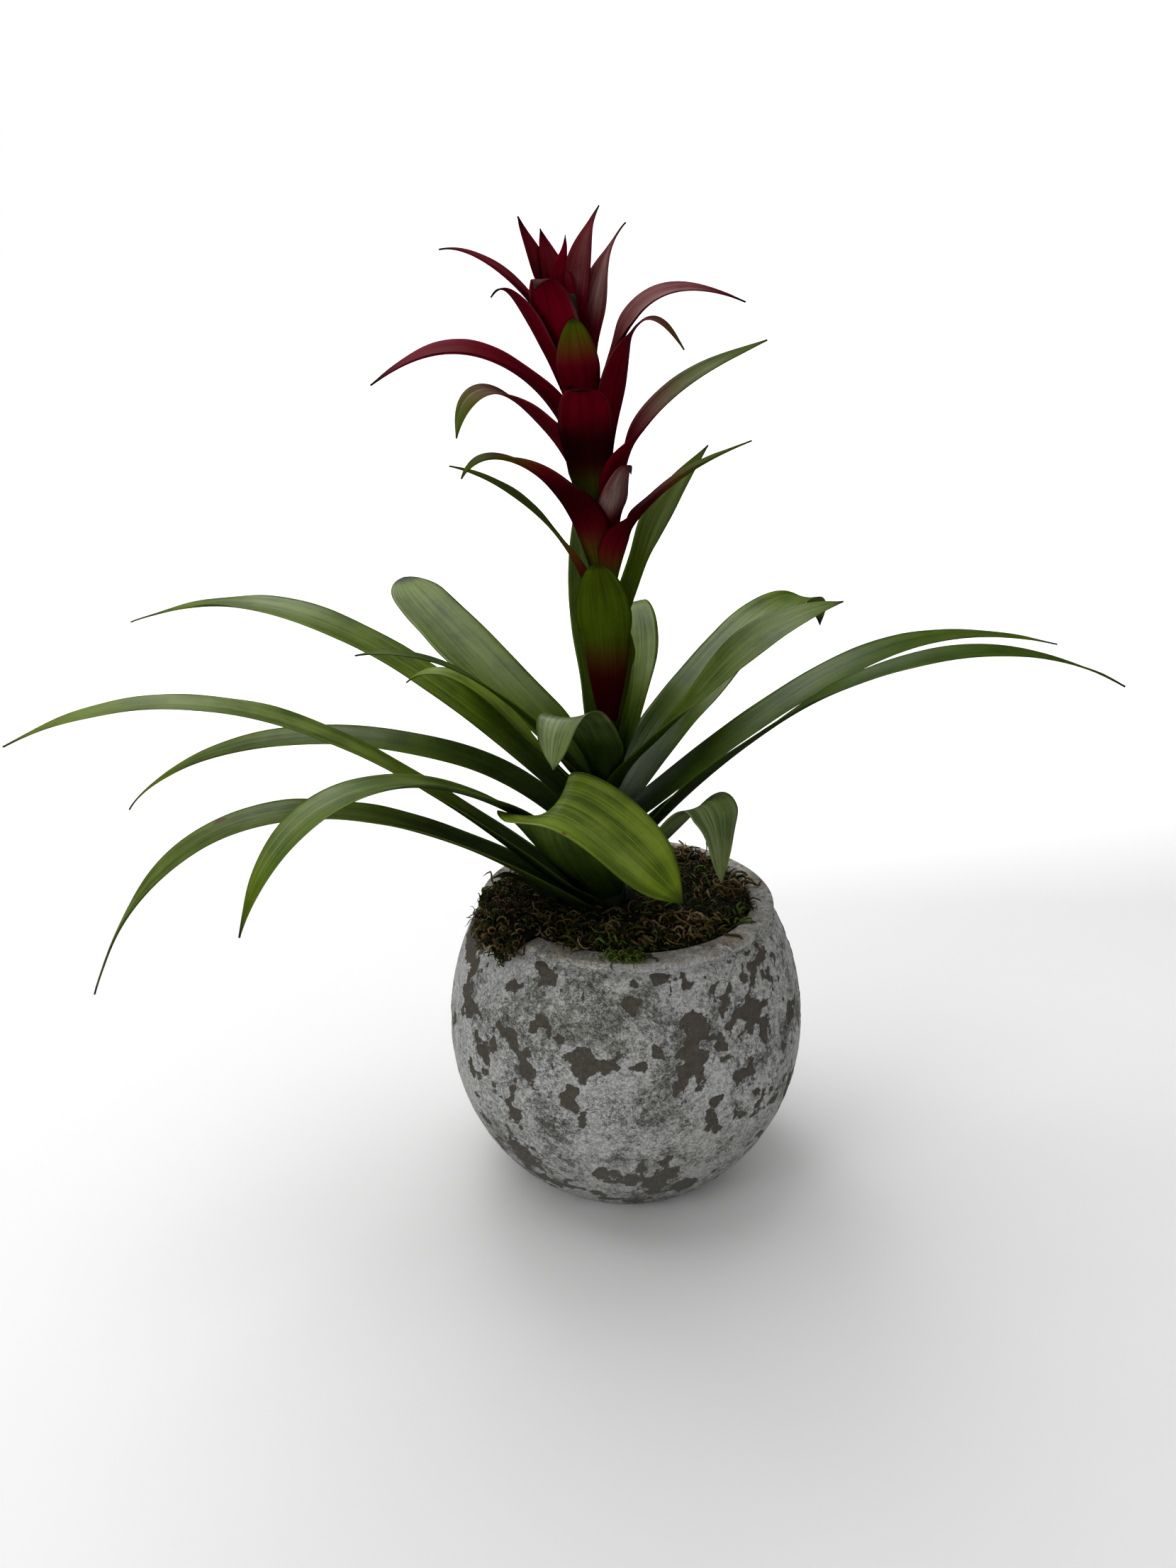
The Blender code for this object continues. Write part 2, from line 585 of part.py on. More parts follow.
def moss_strand(random, start, end, rise):
    """A curly strand as a three-sided tube: it arches up and out from one buried
    end to the other and coils about its own arch."""
    t = np.linspace(0.0, 1.0, 8)[:, None]
    out = start + end
    out = np.array([out[0], out[1], 0.0]) / max(float(np.linalg.norm(out[:2])), 1e-6)
    arch = np.sin(math.pi * t)
    turns = random.uniform(0.8, 1.6) * 2.0 * math.pi * t + random.uniform(0.0, 6.28)
    coil = random.uniform(1.2, 3.0) * arch
    path = start * (1 - t) + end * t + arch * rise
    level = np.cross(out, [0.0, 0.0, 1.0])
    path = path + coil * (np.cos(turns) * np.array([0.0, 0.0, 0.6]) + np.sin(turns) * level)
    return tube(path, [MOSS_STRAND_RADIUS] * len(t), 3)


def make_moss(slot):
    """The moss: the pad, the overhanging clump and curly strands, grown together."""
    random = np.random.default_rng(MOSS_SEED + 2)
    moss = make_object("moss", *moss_pad(), slot)
    parts = bpy.data.collections.new("moss_parts")
    bpy.context.scene.collection.children.link(parts)
    solids = [moss_clump(), moss_heap()]
    for i in range(MOSS_STRANDS):
        angle = 2.0 * math.pi * (i + random.uniform(0.0, 1.0)) / MOSS_STRANDS
        turn = angle + random.uniform(0.12, 0.3)
        radius = max(random.uniform(33.0, 55.0), hole_reach(angle), hole_reach(turn))
        start = np.array([radius * math.cos(angle), radius * math.sin(angle), MOSS_TOP - 3.2])
        end = np.array([radius * math.cos(turn), radius * math.sin(turn), MOSS_TOP - 3.2])
        solids.append(moss_strand(random, start, end, np.array([0.0, 0.0, random.uniform(6.0, 9.0)])))
    for points, faces in solids:
        piece = make_object("moss_part", points, faces, slot)
        bpy.context.scene.collection.objects.unlink(piece)
        parts.objects.link(piece)
        piece.hide_render = True
        piece.display_type = "WIRE"
    step = moss.modifiers.new("grown", "BOOLEAN")
    step.operation = "UNION"
    step.operand_type = "COLLECTION"
    step.collection = parts
    step.solver = "MANIFOLD"
    bpy.context.view_layer.update()
    with bpy.context.temp_override(object=moss, active_object=moss):
        bpy.ops.object.modifier_apply(modifier=step.name)
    for piece in list(parts.objects):
        bpy.data.objects.remove(piece)
    bpy.data.collections.remove(parts)
    return moss


def clear_scene():
    """Removes whatever is in the file."""
    for item in list(bpy.data.objects):
        bpy.data.objects.remove(item)


def main():
    clear_scene()
    slots = {
        "pot": material("pot", 0.85),
        "soil": material("soil", 0.95),
        "moss": material("moss", 0.95),
        "stem": material("stem", 0.6),
        "leaf": material("leaf", 0.35),
        "bract_red": material("bract_red", 0.4),
        "bract_green": material("bract_green", 0.4),
    }
    make_pot(slots["pot"])
    make_soil(slots["soil"])
    make_moss(slots["moss"])
    make_stem(slots["stem"])
    for index, leaf in enumerate(LEAVES):
        points, faces = strip(leaf_rows(index), LEAF_THICKNESS)
        make_object(leaf[0], points, faces, slots["leaf"])
    for index, bract in enumerate(BRACTS):
        slot = slots["bract_green" if bract[0] in GREEN_BRACTS else "bract_red"]
        points, faces = strip(bract_rows(index), BRACT_THICKNESS)
        make_object(bract[0], points, faces, slot)


if __name__ == "__main__":
    main()
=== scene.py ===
# %% [markdown]
# # A potted bromeliad
# A house plant with arching strap leaves and a tall spike of pointed dark red
# bracts, in a round whitewashed pot with moss on top.
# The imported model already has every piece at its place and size. This lesson
# replaces the faceted pieces with finer surfaces of the same form and gives them
# their finish. Lengths are typed in millimetres and turned into metres once.

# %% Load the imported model
import math

import bpy
import numpy as np
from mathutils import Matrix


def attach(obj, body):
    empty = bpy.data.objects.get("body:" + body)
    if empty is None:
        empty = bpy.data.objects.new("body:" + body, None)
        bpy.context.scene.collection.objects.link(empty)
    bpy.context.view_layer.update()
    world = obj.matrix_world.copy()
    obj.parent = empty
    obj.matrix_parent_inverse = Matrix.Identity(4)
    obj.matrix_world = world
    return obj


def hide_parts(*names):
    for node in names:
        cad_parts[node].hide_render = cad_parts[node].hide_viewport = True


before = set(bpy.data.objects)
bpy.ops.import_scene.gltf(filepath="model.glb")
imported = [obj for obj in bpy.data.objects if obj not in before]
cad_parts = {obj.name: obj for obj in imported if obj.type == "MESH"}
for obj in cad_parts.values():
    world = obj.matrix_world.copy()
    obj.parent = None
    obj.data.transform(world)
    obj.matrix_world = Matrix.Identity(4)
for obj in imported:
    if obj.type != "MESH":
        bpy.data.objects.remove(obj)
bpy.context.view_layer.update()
MM = 0.001

# %% [markdown]
# ## The camera
# The photograph looks slightly down on the plant from the front. A camera is set
# by its focal length and where it stands. Both were found from the round pot: the
# width of its mouth against its height gives the tilt. It comes first, so every
# later step can be judged through it.

# %% Place the camera
CAMERA_PLACE = (-0.0193, -0.536, 0.399)
CAMERA_PITCH = 19.9
CAMERA_LENS = 27.03
SENSOR_HEIGHT = 36.0
NEAREST_SEEN = 0.01


def place_camera():
    """A camera at the photograph's place that looks along +Y, tipped down by the pitch."""
    data = bpy.data.cameras.new("camera")
    data.lens = CAMERA_LENS
    data.sensor_fit = "VERTICAL"
    data.sensor_height = SENSOR_HEIGHT
    data.clip_start = NEAREST_SEEN
    camera = bpy.data.objects.new("camera", data)
    camera.location = CAMERA_PLACE
    camera.rotation_euler = (math.radians(90.0 - CAMERA_PITCH), 0.0, 0.0)
    bpy.context.scene.collection.objects.link(camera)
    bpy.context.scene.camera = camera
    return camera


camera = place_camera()
print("camera at", tuple(camera.location))

# %% [markdown]
# ## Studio light and floor
# The plant stands in plain, soft light that falls from above and a little from
# the left, so the leaves shine on their upper faces and the pot darkens downwards.
# The top panel makes that soft fall. One behind gives the far leaves their light
# edges, one at the front left lifts the pot, and the strongest only whitens the
# wall. A pale sky fills the shadows. Neither sky nor floor shows in the gloss, as
# they would grey the dark bracts. Panels are used, since their size sets how soft
# a shadow is.

# %% Sky and panels
SKY_COLOUR = (1.0, 1.0, 1.0, 1.0)
SKY_STRENGTH = 0.40
# name: place and target in metres, size in metres, power in watts
PANELS = {
    "top_panel": ((-0.45, 0.3, 1.35), (0.0, 0.0, 0.2), 1.3, 13.0),
    "back_panel": ((-0.5, 1.5, 1.75), (0.0, 0.0, 0.25), 0.8, 4.5),
    "front_panel": ((-1.3, -1.25, 1.0), (0.0, 0.0, 0.2), 0.7, 6.5),
    "wall_panel": ((0.0, 0.9, 1.6), (0.0, 3.0, 0.8), 1.6, 60.0),
}


def panel(name, place, target, size, power):
    """A square panel light at a place that faces a target."""
    data = bpy.data.lights.new(name, "AREA")
    data.shape = "SQUARE"
    data.size = size
    data.energy = power
    lamp = bpy.data.objects.new(name, data)
    lamp.location = place
    way = np.array(target) - np.array(place)
    tilt = math.atan2(math.hypot(way[0], way[1]), -way[2])
    lamp.rotation_euler = (tilt, 0.0, math.atan2(way[1], way[0]) - math.pi / 2)
    bpy.context.scene.collection.objects.link(lamp)
    return lamp


world = bpy.data.worlds.new("studio")
world.use_nodes = True
bpy.context.scene.world = world
world.cycles_visibility.glossy = False
sky = world.node_tree.nodes["Background"]
sky.inputs["Color"].default_value = SKY_COLOUR
sky.inputs["Strength"].default_value = SKY_STRENGTH
bpy.context.scene.view_settings.view_transform = "Standard"
for name, numbers in PANELS.items():
    panel(name, *numbers)
print("sky", SKY_STRENGTH, "panels in watts:", {name: row[3] for name, row in PANELS.items()})

# %% [markdown]
# ## A grid becomes a mesh
# Every new piece here is a grid of points: rows along the piece, columns across.
# One function turns such a grid into a mesh. It can join the last column to the
# first, which closes a tube, and it can squeeze an end row to one point, which
# closes its end. The volume of the result tells whether its faces look out.

# %% Grid to mesh


def volume_sign(points, faces):
    """The sign of the volume: the sum over all corners of p . (q x r) of each face's
    triangles. Negative means that the faces look inwards."""
    p, q, r = points[faces[:, 0]], points[faces[:, 1]], points[faces[:, 2]]
    total = np.einsum("ij,ij->i", p, np.cross(q, r)).sum()
    if faces.shape[1] == 4:
        s = points[faces[:, 3]]
        total += np.einsum("ij,ij->i", p, np.cross(r, s)).sum()
    return 1.0 if total >= 0.0 else -1.0


def grid_faces(rows, columns, wrap_columns, start_point, end_point, wrap_rows=False):
    """Four corners for each cell of a grid; a squeezed row uses its first point."""
    index = np.arange(rows * columns).reshape(rows, columns)
    if start_point:
        index[0] = index[0, 0]
    if end_point:
        index[-1] = index[-1, 0]
    r = np.arange(rows if wrap_rows else rows - 1)
    c = np.arange(columns if wrap_columns else columns - 1)
    low, high = index[r], index[(r + 1) % rows]
    n = (c + 1) % columns
    return np.stack([low[:, c], low[:, n], high[:, n], high[:, c]], axis=-1).reshape(-1, 4)


def capped(rings):
    """A closed tube's grid: its rings with the middle of the first and of the last
    one put before and after them, as rows that are squeezed to one point."""
    ends = rings.mean(axis=1, keepdims=True)[[0, -1]].repeat(rings.shape[1], axis=1)
    return np.concatenate([ends[:1], rings, ends[1:]])


def mesh_piece(name, points, faces, material, values=None, uv=None):
    """A smooth-shaded object from points in millimetres and four-cornered faces.
    Cells with a doubled corner become triangles and unused points are dropped.
    values holds one number a point for each named attribute."""
    doubled = (faces[:, 0] == faces[:, 1]), (faces[:, 2] == faces[:, 3])
    squares = faces[~(doubled[0] | doubled[1])]
    triangles = np.concatenate([faces[doubled[0]][:, 1:], faces[doubled[1]][:, :3]])
    if volume_sign(points, squares) < 0.0:
        squares, triangles = squares[:, ::-1], triangles[:, ::-1]
    corners = np.concatenate([squares.ravel(), triangles.ravel()])
    used, place = np.unique(corners, return_inverse=True)
    sizes = np.concatenate([np.full(len(squares), 4), np.full(len(triangles), 3)])
    mesh = bpy.data.meshes.new(name)
    mesh.vertices.add(len(used))
    mesh.vertices.foreach_set("co", (points[used] * MM).astype(np.float32).ravel())
    mesh.loops.add(len(place))
    mesh.loops.foreach_set("vertex_index", place.astype(np.int32))
    mesh.polygons.add(len(sizes))
    mesh.polygons.foreach_set("loop_start", (np.cumsum(sizes) - sizes).astype(np.int32))
    mesh.polygons.foreach_set("use_smooth", np.ones(len(sizes), dtype=bool))
    for key, value in (values or {}).items():
        numbers = mesh.attributes.new(key, "FLOAT", "POINT").data
        numbers.foreach_set("value", value.ravel()[used].astype(np.float32))
    if uv is not None:
        layer = mesh.uv_layers.new(name="blade")
        layer.data.foreach_set("uv", uv.reshape(-1, 2)[used][place].astype(np.float32).ravel())
    mesh.update(calc_edges=True)
    mesh.materials.append(material)
    piece = bpy.data.objects.new(name, mesh)
    bpy.context.scene.collection.objects.link(piece)
    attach(piece, "root")
    return piece


def tube_piece(name, grid, material, values=None):
    """A closed tube from its grid, whose first and last rows are squeezed."""
    faces = grid_faces(len(grid), grid.shape[1], True, True, True)
    return mesh_piece(name, grid.reshape(-1, 3), faces, material, values)


def turned(radius, azimuth, height):
    """Points at a radius from the Z axis, an azimuth in radians and a height."""
    place = np.broadcast_arrays(radius * np.cos(azimuth), radius * np.sin(azimuth), height)
    return np.stack(place, axis=-1)


print("grid helpers ready")

# %% [markdown]
# ## Random fields
# Moss, worn paint and living leaves are never even. A random field gives each
# point in space a smooth random number: random values sit on a cubic lattice and
# are blended between its corners. Adding finer copies gives ragged detail.

# %% Smooth steps and random fields


def smooth(x, low, high):
    """The smooth step of x from 0 at low to 1 at high: 3 t t - 2 t t t."""
    t = np.clip((np.asarray(x, float) - low) / (high - low), 0.0, 1.0)
    return t * t * (3.0 - 2.0 * t)


def lattice(cell, seed):
    """A random number from 0 to 1 for each whole-numbered cell, by mixing its bits
    with large odd numbers."""
    c = cell.astype(np.int64)
    mixed = c[..., 0] * 374761393 + c[..., 1] * 668265263 + c[..., 2] * 1274126177 + seed * 974711
    mixed = (mixed ^ (mixed >> 13)) & 0xFFFFFFFF
    mixed = (mixed * 1103515245 + 12345) & 0xFFFFFFFF
    mixed = ((mixed ^ (mixed >> 16)) * 2246822519) & 0xFFFFFFFF
    return ((mixed ^ (mixed >> 15)) & 0xFFFF) / 0xFFFF


def field(points, cell, seed=0, octaves=1):
    """A random field from 0 to 1 with lumps about one cell wide. Each octave adds
    lumps half as wide and half as strong."""
    total = np.zeros(points.shape[:-1])
    weight = 0.0
    for octave in range(octaves):
        q = points / (cell / 2.0 ** octave) + 100.0 + 17.3 * octave
        whole = np.floor(q)
        f = q - whole
        f = f * f * (3.0 - 2.0 * f)
        layer = np.zeros(points.shape[:-1])
        for corner in range(8):
            step = np.array([corner & 1, corner >> 1 & 1, corner >> 2 & 1])
            share = np.prod(np.where(step == 1, f, 1.0 - f), axis=-1)
            layer += share * lattice(whole + step, seed + octave)
        total += layer * 0.5 ** octave
        weight += 0.5 ** octave
    return total / weight


print("field at the origin:", round(float(field(np.zeros((1, 3)), 10.0)[0]), 3))

# %% [markdown]
# ## Shader helpers
# A material is a small network of nodes. These helpers keep the network short to
# write: one places a node and joins or fills in its inputs, and the others build
# on it, for sums, blends, steps, noise and bumps. A socket knows its own network.

# %% Node helpers


def node(tree, kind, inputs=None, **settings):
    """One node of a kind, with its settings, and its inputs joined or filled in."""
    made = tree.nodes.new(kind)
    for key, value in settings.items():
        setattr(made, key, value)
    for key, value in (inputs or {}).items():
        if isinstance(value, bpy.types.NodeSocket):
            tree.links.new(value, made.inputs[key])
        else:
            made.inputs[key].default_value = value
    return made


def sums(operation, *values):
    """One operation on sockets and numbers, in the network of the first socket."""
    tree = next(value.id_data for value in values if isinstance(value, bpy.types.NodeSocket))
    return node(tree, "ShaderNodeMath", dict(enumerate(values)), operation=operation).outputs[0]


def plus(first, second):
    """The sum of two sockets, or of a socket and a number."""
    return sums("ADD", first, second)


def minus(first, second):
    """The first less the second."""
    return sums("SUBTRACT", first, second)


def times(first, second):
    """The product of two sockets, or of a socket and a number."""
    return sums("MULTIPLY", first, second)


def blend(share, first, second):
    """The colour between two colours by a share from 0 to 1."""
    return node(share.id_data, "ShaderNodeMix", {0: share, 6: first, 7: second},
                data_type="RGBA").outputs[2]


def between(value, low, high):
    """The smooth step of a value: 0 at low, 1 at high."""
    return node(value.id_data, "ShaderNodeMapRange", {
        "Value": value, "From Min": low, "From Max": high},
        interpolation_type="SMOOTHSTEP").outputs[0]


def stored(tree, name):
    """The number that a piece's points hold under a name."""
    return node(tree, "ShaderNodeAttribute", attribute_name=name).outputs["Fac"]


def place_on_plant(tree):
    """Each point's place on the finished plant, in metres."""
    return node(tree, "ShaderNodeTexCoord").outputs["Object"]


def noise(place, scale, detail=2.0, rough=0.5, twist=0.0):
    """Random values from 0 to 1 over a place, with lumps about 1 / scale wide."""
    return node(place.id_data, "ShaderNodeTexNoise", {
        "Vector": place, "Scale": scale, "Detail": detail, "Roughness": rough,
        "Distortion": twist}).outputs[0]


def bumps(height, strength, distance):
    """The normal over a height from 0 to 1 that stands for a distance in metres."""
    return node(height.id_data, "ShaderNodeBump", {
        "Height": height, "Strength": strength, "Distance": distance}).outputs[0]


def new_group(name, inputs, outputs):
    """An empty node group with named inputs, each with its first value, and outputs,
    all of them numbers."""
    group = bpy.data.node_groups.new(name, "ShaderNodeTree")
    for key, value in inputs.items():
        made = group.interface.new_socket(key, in_out="INPUT", socket_type="NodeSocketFloat")
        made.default_value = value
    for key in outputs:
        group.interface.new_socket(key, in_out="OUTPUT", socket_type="NodeSocketFloat")
    given = group.nodes.new("NodeGroupInput").outputs
    return group, given, group.nodes.new("NodeGroupOutput").inputs


def new_material(name, **fixed):
    """A material whose Principled shader has some inputs set to fixed numbers. In
    their names an underscore stands for a space."""
    made = bpy.data.materials.new(name)
    made.use_nodes = True
    shader = made.node_tree.nodes["Principled BSDF"]
    for key, value in fixed.items():
        shader.inputs[key.replace("_", " ")].default_value = value
    return made, made.node_tree, shader


def wire(shader, **sockets):
    """Joins sockets to the shader's inputs, named in the same way."""
    for key, socket in sockets.items():
        shader.id_data.links.new(socket, shader.inputs[key.replace("_", " ")])


print("node helpers ready")

# %% [markdown]
# ## Veins, shared by leaves and bracts
# A bromeliad's leaf has no net of veins: fine lines run side by side from base to
# tip and draw together where the leaf narrows. Noise that is stretched along the
# blade's own map gives that at once, because the map is as wide at the tip as in
# the middle. Leaves and bracts both use it, so it is a node group.

# %% The vein group
# output: width of its lines against the fine ones, how often they change along
VEINS = {"Fine": (1.0, 3.0), "Broad": (0.16, 2.2)}
vein_group, given, result = new_group("parallel_veins", {"Lines": 60.0, "Seed": 0.0}, VEINS)
blade_map = node(vein_group, "ShaderNodeUVMap", uv_map="blade")
parts = node(vein_group, "ShaderNodeSeparateXYZ", {"Vector": blade_map.outputs[0]})
across = times(parts.outputs[0], given["Lines"])
for key, (width, along) in VEINS.items():
    line = node(vein_group, "ShaderNodeCombineXYZ", {
        "X": times(across, width), "Y": times(parts.outputs[1], along), "Z": given["Seed"]})
    vein_group.links.new(noise(line.outputs[0], 1.0), result[key])
print("group", vein_group.name, "inputs", [s.name for s in vein_group.interface.items_tree])

# %% [markdown]
# ## Leaf and bract finish
# A leaf is deep green and glossy and yellower in places. Painted shade makes it near
# black at its base and darker on its under face. It carries a thin pale bloom that
# also holds a painted sheen. Numbers stored on the points of each blade say how
# much of each there is, and where a brown scar lies. The bracts use the same
# build: their stored number says where crimson gives way to green.

# %% Blade materials
LEAF_DEEP = (0.016, 0.040, 0.001, 1.0)
LEAF_MID = (0.058, 0.110, 0.003, 1.0)
LEAF_YELLOW = (0.170, 0.240, 0.006, 1.0)
# Pale bloom, also the colour of the painted sheen on the leaves
LEAF_BLOOM_SHEEN = (0.300, 0.350, 0.170, 1.0)
# Near black: the leaves' dark tips, and painted shade at their bases and under faces
NEAR_BLACK = (0.006, 0.012, 0.001, 1.0)
BRACT_DEEP = (0.070, 0.0002, 0.0040, 1.0)
BRACT_RED = (0.150, 0.0004, 0.0090, 1.0)
BRACT_GREEN = (0.054, 0.084, 0.002, 1.0)
# Pink bloom of the bracts, mostly painted sheen
BRACT_BLOOM_SHEEN = (0.265, 0.180, 0.158, 1.0)
# Near black: the bracts' dark bands and tips, and painted shade at their sheaths
BRACT_BLACK = (0.010, 0.0004, 0.0006, 1.0)
SCAR_BROWN = (0.140, 0.060, 0.024, 1.0)
# How much each pattern adds to the light and dark of a blade
STREAK_SHARE, BAND_SHARE, CLOUD_SHARE = 0.38, 0.36, 0.26
# The pale colour's red and green in the dark and the light streaks
PALE_LOW, PALE_HIGH = (0.56, 0.62), (1.32, 1.3)
UNDER_ROUGHNESS = 0.12
VEIN_HEIGHT = 0.0004


def blade_material(name, deep, mid, pale, bloom_sheens, dark, roughness, lines, gloss, mask):
    """A glossy blade: deep to mid by the veins, then towards pale, towards dark (partly
    painted shade), towards bloom with a painted sheen, and towards scar by the numbers
    on its points; fine raised lines along it. The pale colour comes in where the
    veins and clouds lie between the two values of the mask."""
    made, tree, shader = new_material(name, Specular_IOR_Level=gloss)
    place = place_on_plant(tree)
    veins = node(tree, "ShaderNodeGroup", {"Lines": lines, "Seed": stored(tree, "seed")},
                 node_tree=vein_group)
    fine, broad = veins.outputs["Fine"], veins.outputs["Broad"]
    streaks = times(between(fine, 0.32, 0.7), STREAK_SHARE)
    bands = times(between(broad, 0.3, 0.75), BAND_SHARE)
    clouds = times(between(noise(place, 48.0, 4.0, 0.6), 0.36, 0.64), CLOUD_SHARE)
    lit = plus(plus(streaks, bands), clouds)
    low_pale = (pale[0] * PALE_LOW[0], pale[1] * PALE_LOW[1], pale[2], 1.0)
    high_pale = (pale[0] * PALE_HIGH[0], pale[1] * PALE_HIGH[1], pale[2], 1.0)
    colour = blend(lit, deep, mid)
    colour = blend(times(stored(tree, "pale"), between(lit, *mask)), colour,
                   blend(lit, low_pale, high_pale))
    # Near black by the dark number: real dark tips and bands, and painted shade at bases and under
    # faces
    colour = blend(stored(tree, "dark"), colour, dark)
    # A pale tint of bloom that also paints the sheen of the upper faces
    bloom_sheen_share = times(stored(tree, "bloom_and_sheen"), between(lit, -0.25, 1.0))
    colour = blend(bloom_sheen_share, colour, blend(stored(tree, "pale"), *bloom_sheens))
    ragged = times(noise(place, 500.0, 3.0), 0.5)
    scar = between(plus(stored(tree, "scar"), ragged), 0.72, 0.84)
    wire(shader, Base_Color=blend(scar, colour, SCAR_BROWN),
         Roughness=plus(times(stored(tree, "under"), UNDER_ROUGHNESS), roughness),
         Normal=bumps(plus(fine, times(broad, 0.8)), 0.5, VEIN_HEIGHT))
    return made


leaf_material = blade_material(
    "leaf_finish", LEAF_DEEP, LEAF_MID, LEAF_YELLOW, (LEAF_BLOOM_SHEEN, LEAF_BLOOM_SHEEN), NEAR_BLACK,
    roughness=0.34, lines=80.0, gloss=0.3, mask=(-0.25, 0.8))
bract_material = blade_material(
    "bract_finish", BRACT_DEEP, BRACT_RED, BRACT_GREEN, (BRACT_BLOOM_SHEEN, LEAF_BLOOM_SHEEN), BRACT_BLACK,
    roughness=0.46, lines=46.0, gloss=0.012, mask=(-1.0, 0.4))
print("materials:", leaf_material.name, bract_material.name)

# %% [markdown]
# ## The form of a blade
# A leaf starts as a sheath that wraps the stem, leaves it, arches over and ends
# in a point. Its middle line is a funnel about the stem and then a cubic curve to
# the tip. Across it, each station is an arc that wraps the stem in the sheath and
# opens to a shallow channel. Modelling each by hand would take days; as one
# formula with a row of numbers a leaf, each follows the photograph.

# %% The stem's axis and the sizes that the blades share
GAP = 0.3
STEM_RADIUS = 6.2
STEM_FOOT = 15.0
FOOT_TOP = 182.0
STALK_RADIUS = 3.8
STALK_START = 227.0
STALK_TOP = 424.0
AXIS_X = -10.0
AXIS_Y = -6.0
AXIS_BOW = 0.00055
AXIS_BOW_HEIGHT = 240.0
LEAF_START = 138.5
LEAF_STEP = 4.9
LEAF_FLARE = 0.32
LEAF_THICKNESS = 0.8
LEAF_BASE_WIDTH = 21.0
LEAF_BASE_WRAP = 3.2
LEAF_SEAT = 0.55
LEAF_CHANNEL = 46.0
BRACT_START = 284.0
BRACT_STEP = 6.9
BRACT_FLARE = 0.175
LOW_BRACT_FLARE = 0.19
BRACT_THICKNESS = 0.75
BRACT_BASE_WIDTH = 10.0
LOW_BRACT_BASE_WIDTH = 12.5
BRACT_CHANNEL = 30.0
SWELL = 0.3
TAPER_START = 0.5
TAPER_POWER = 2.2
TAPER_WIDTH = 24.0
TAPER_GAIN = 0.11
LOWEST_TAPER_POWER = 1.5
BLUNT_NARROWING = 0.3
# Shares of the free blade by which its sides have turned level, its bend has
# turned up, its channel is open and its roll is complete
SIDES_TURNED, BEND_TURNED, CHANNEL_OPEN, ROLLED = 0.35, 0.3, 0.38, 0.7
# How level the middle line runs where the sides begin to turn, and where they have
LEVEL_RANGE = (0.2, 0.6)


def axis_x(z):
    """The stem axis at height z: a parabola that bows to the left above and below."""
    return AXIS_X - AXIS_BOW * (z - AXIS_BOW_HEIGHT) ** 2


def foot_share(z):
    """1 at the lowest leaf and below, 0 where the stem's thick foot has ended."""
    return np.clip((FOOT_TOP - z) / (FOOT_TOP - LEAF_START), 0.0, 1.0)


def stem_radius(z):
    """The stem's radius below the stalk: a cone from its foot, then a cylinder."""
    return STEM_RADIUS + (STEM_FOOT - STEM_RADIUS) * foot_share(z)


def heading(azimuth):
    """The level unit vector at an azimuth in degrees."""
    a = math.radians(azimuth)
    return np.array([math.cos(a), math.sin(a), 0.0])


def unit(vectors):
    """Each vector divided by its own length."""
    return vectors / np.maximum(np.linalg.norm(vectors, axis=-1, keepdims=True), 1e-9)


print("stem axis leans from", round(axis_x(140.0), 1), "to", round(axis_x(440.0), 1), "mm")

# %% [markdown]
# ## From the middle surface to a blade with two faces
# A blade has a middle surface, worked out in steps: its curve, how it turns and
# how wide it is. That surface is offset to both sides by half the thickness, which
# thins towards the edges so that they end round. One ring of points runs over the
# top from edge to edge and back underneath. A solid blade looks right from all
# sides, where a single sheet would have no edge.

# %% The blade as a formula


def cubic(start, one, two, end, t):
    """The cubic curve from start to end with two handle points, and its direction."""
    s = 1 - t
    curve = start * s ** 3 + 3 * one * t * s ** 2 + 3 * two * t ** 2 * s + end * t ** 3
    way = 3 * (one - start) * s ** 2 + 6 * (two - one) * t * s + 3 * (end - two) * t ** 2
    return curve, unit(way)


def blade_sides(out, side, along, t, roll, rows):
    """The blade's two cross directions at each station: across it, and towards the
    middle of its bend. They start square to the stem in the sheath's rows, then turn
    level and roll about the middle line."""
    level = np.stack([-along[:, 1], along[:, 0], np.zeros(len(t))], axis=1)
    size = np.linalg.norm(level, axis=1, keepdims=True)
    share = smooth(size, *LEVEL_RANGE) * smooth(t, 0.0, SIDES_TURNED)
    current = side * (1.0 - share) + level * share / np.maximum(size, 1e-6)
    current = unit(current - along * np.sum(current * along, axis=1, keepdims=True))
    turn = math.radians(roll) * smooth(t, 0.0, ROLLED)
    normal = np.cross(along, current)
    up = normal * np.cos(turn) - current * np.sin(turn)
    rolled = current * np.cos(turn) + normal * np.sin(turn)
    opening = smooth(t, 0.0, BEND_TURNED)
    inward = unit(-out * (1 - opening) + up * opening)
    return (np.concatenate([np.tile(side, (rows, 1)), rolled]),
            np.concatenate([np.tile(-out, (rows, 1)), inward]))


def blade_widths(u, width, base_width, edge, blunt):
    """The width at each share u of the length: a swell to the full width, then
    1 - t to a power, or, where the tip is blunt, a slight narrowing and a round end.
    It stays above the least width, edge."""
    swell = base_width + (width - base_width) * smooth(u, 0.0, SWELL)
    late = np.clip((u - TAPER_START) / (1.0 - TAPER_START), 0.0, 1.0)
    taper = 1.0 - late ** max(TAPER_POWER + TAPER_GAIN * (width - TAPER_WIDTH), LOWEST_TAPER_POWER)
    if blunt:
        rounding = np.clip((u - 1.0 + blunt) / blunt, 0.0, 1.0)
        taper = (1.0 - BLUNT_NARROWING * late ** 2) * np.sqrt(1.0 - rounding ** 2)
    return np.maximum(swell * taper, edge)


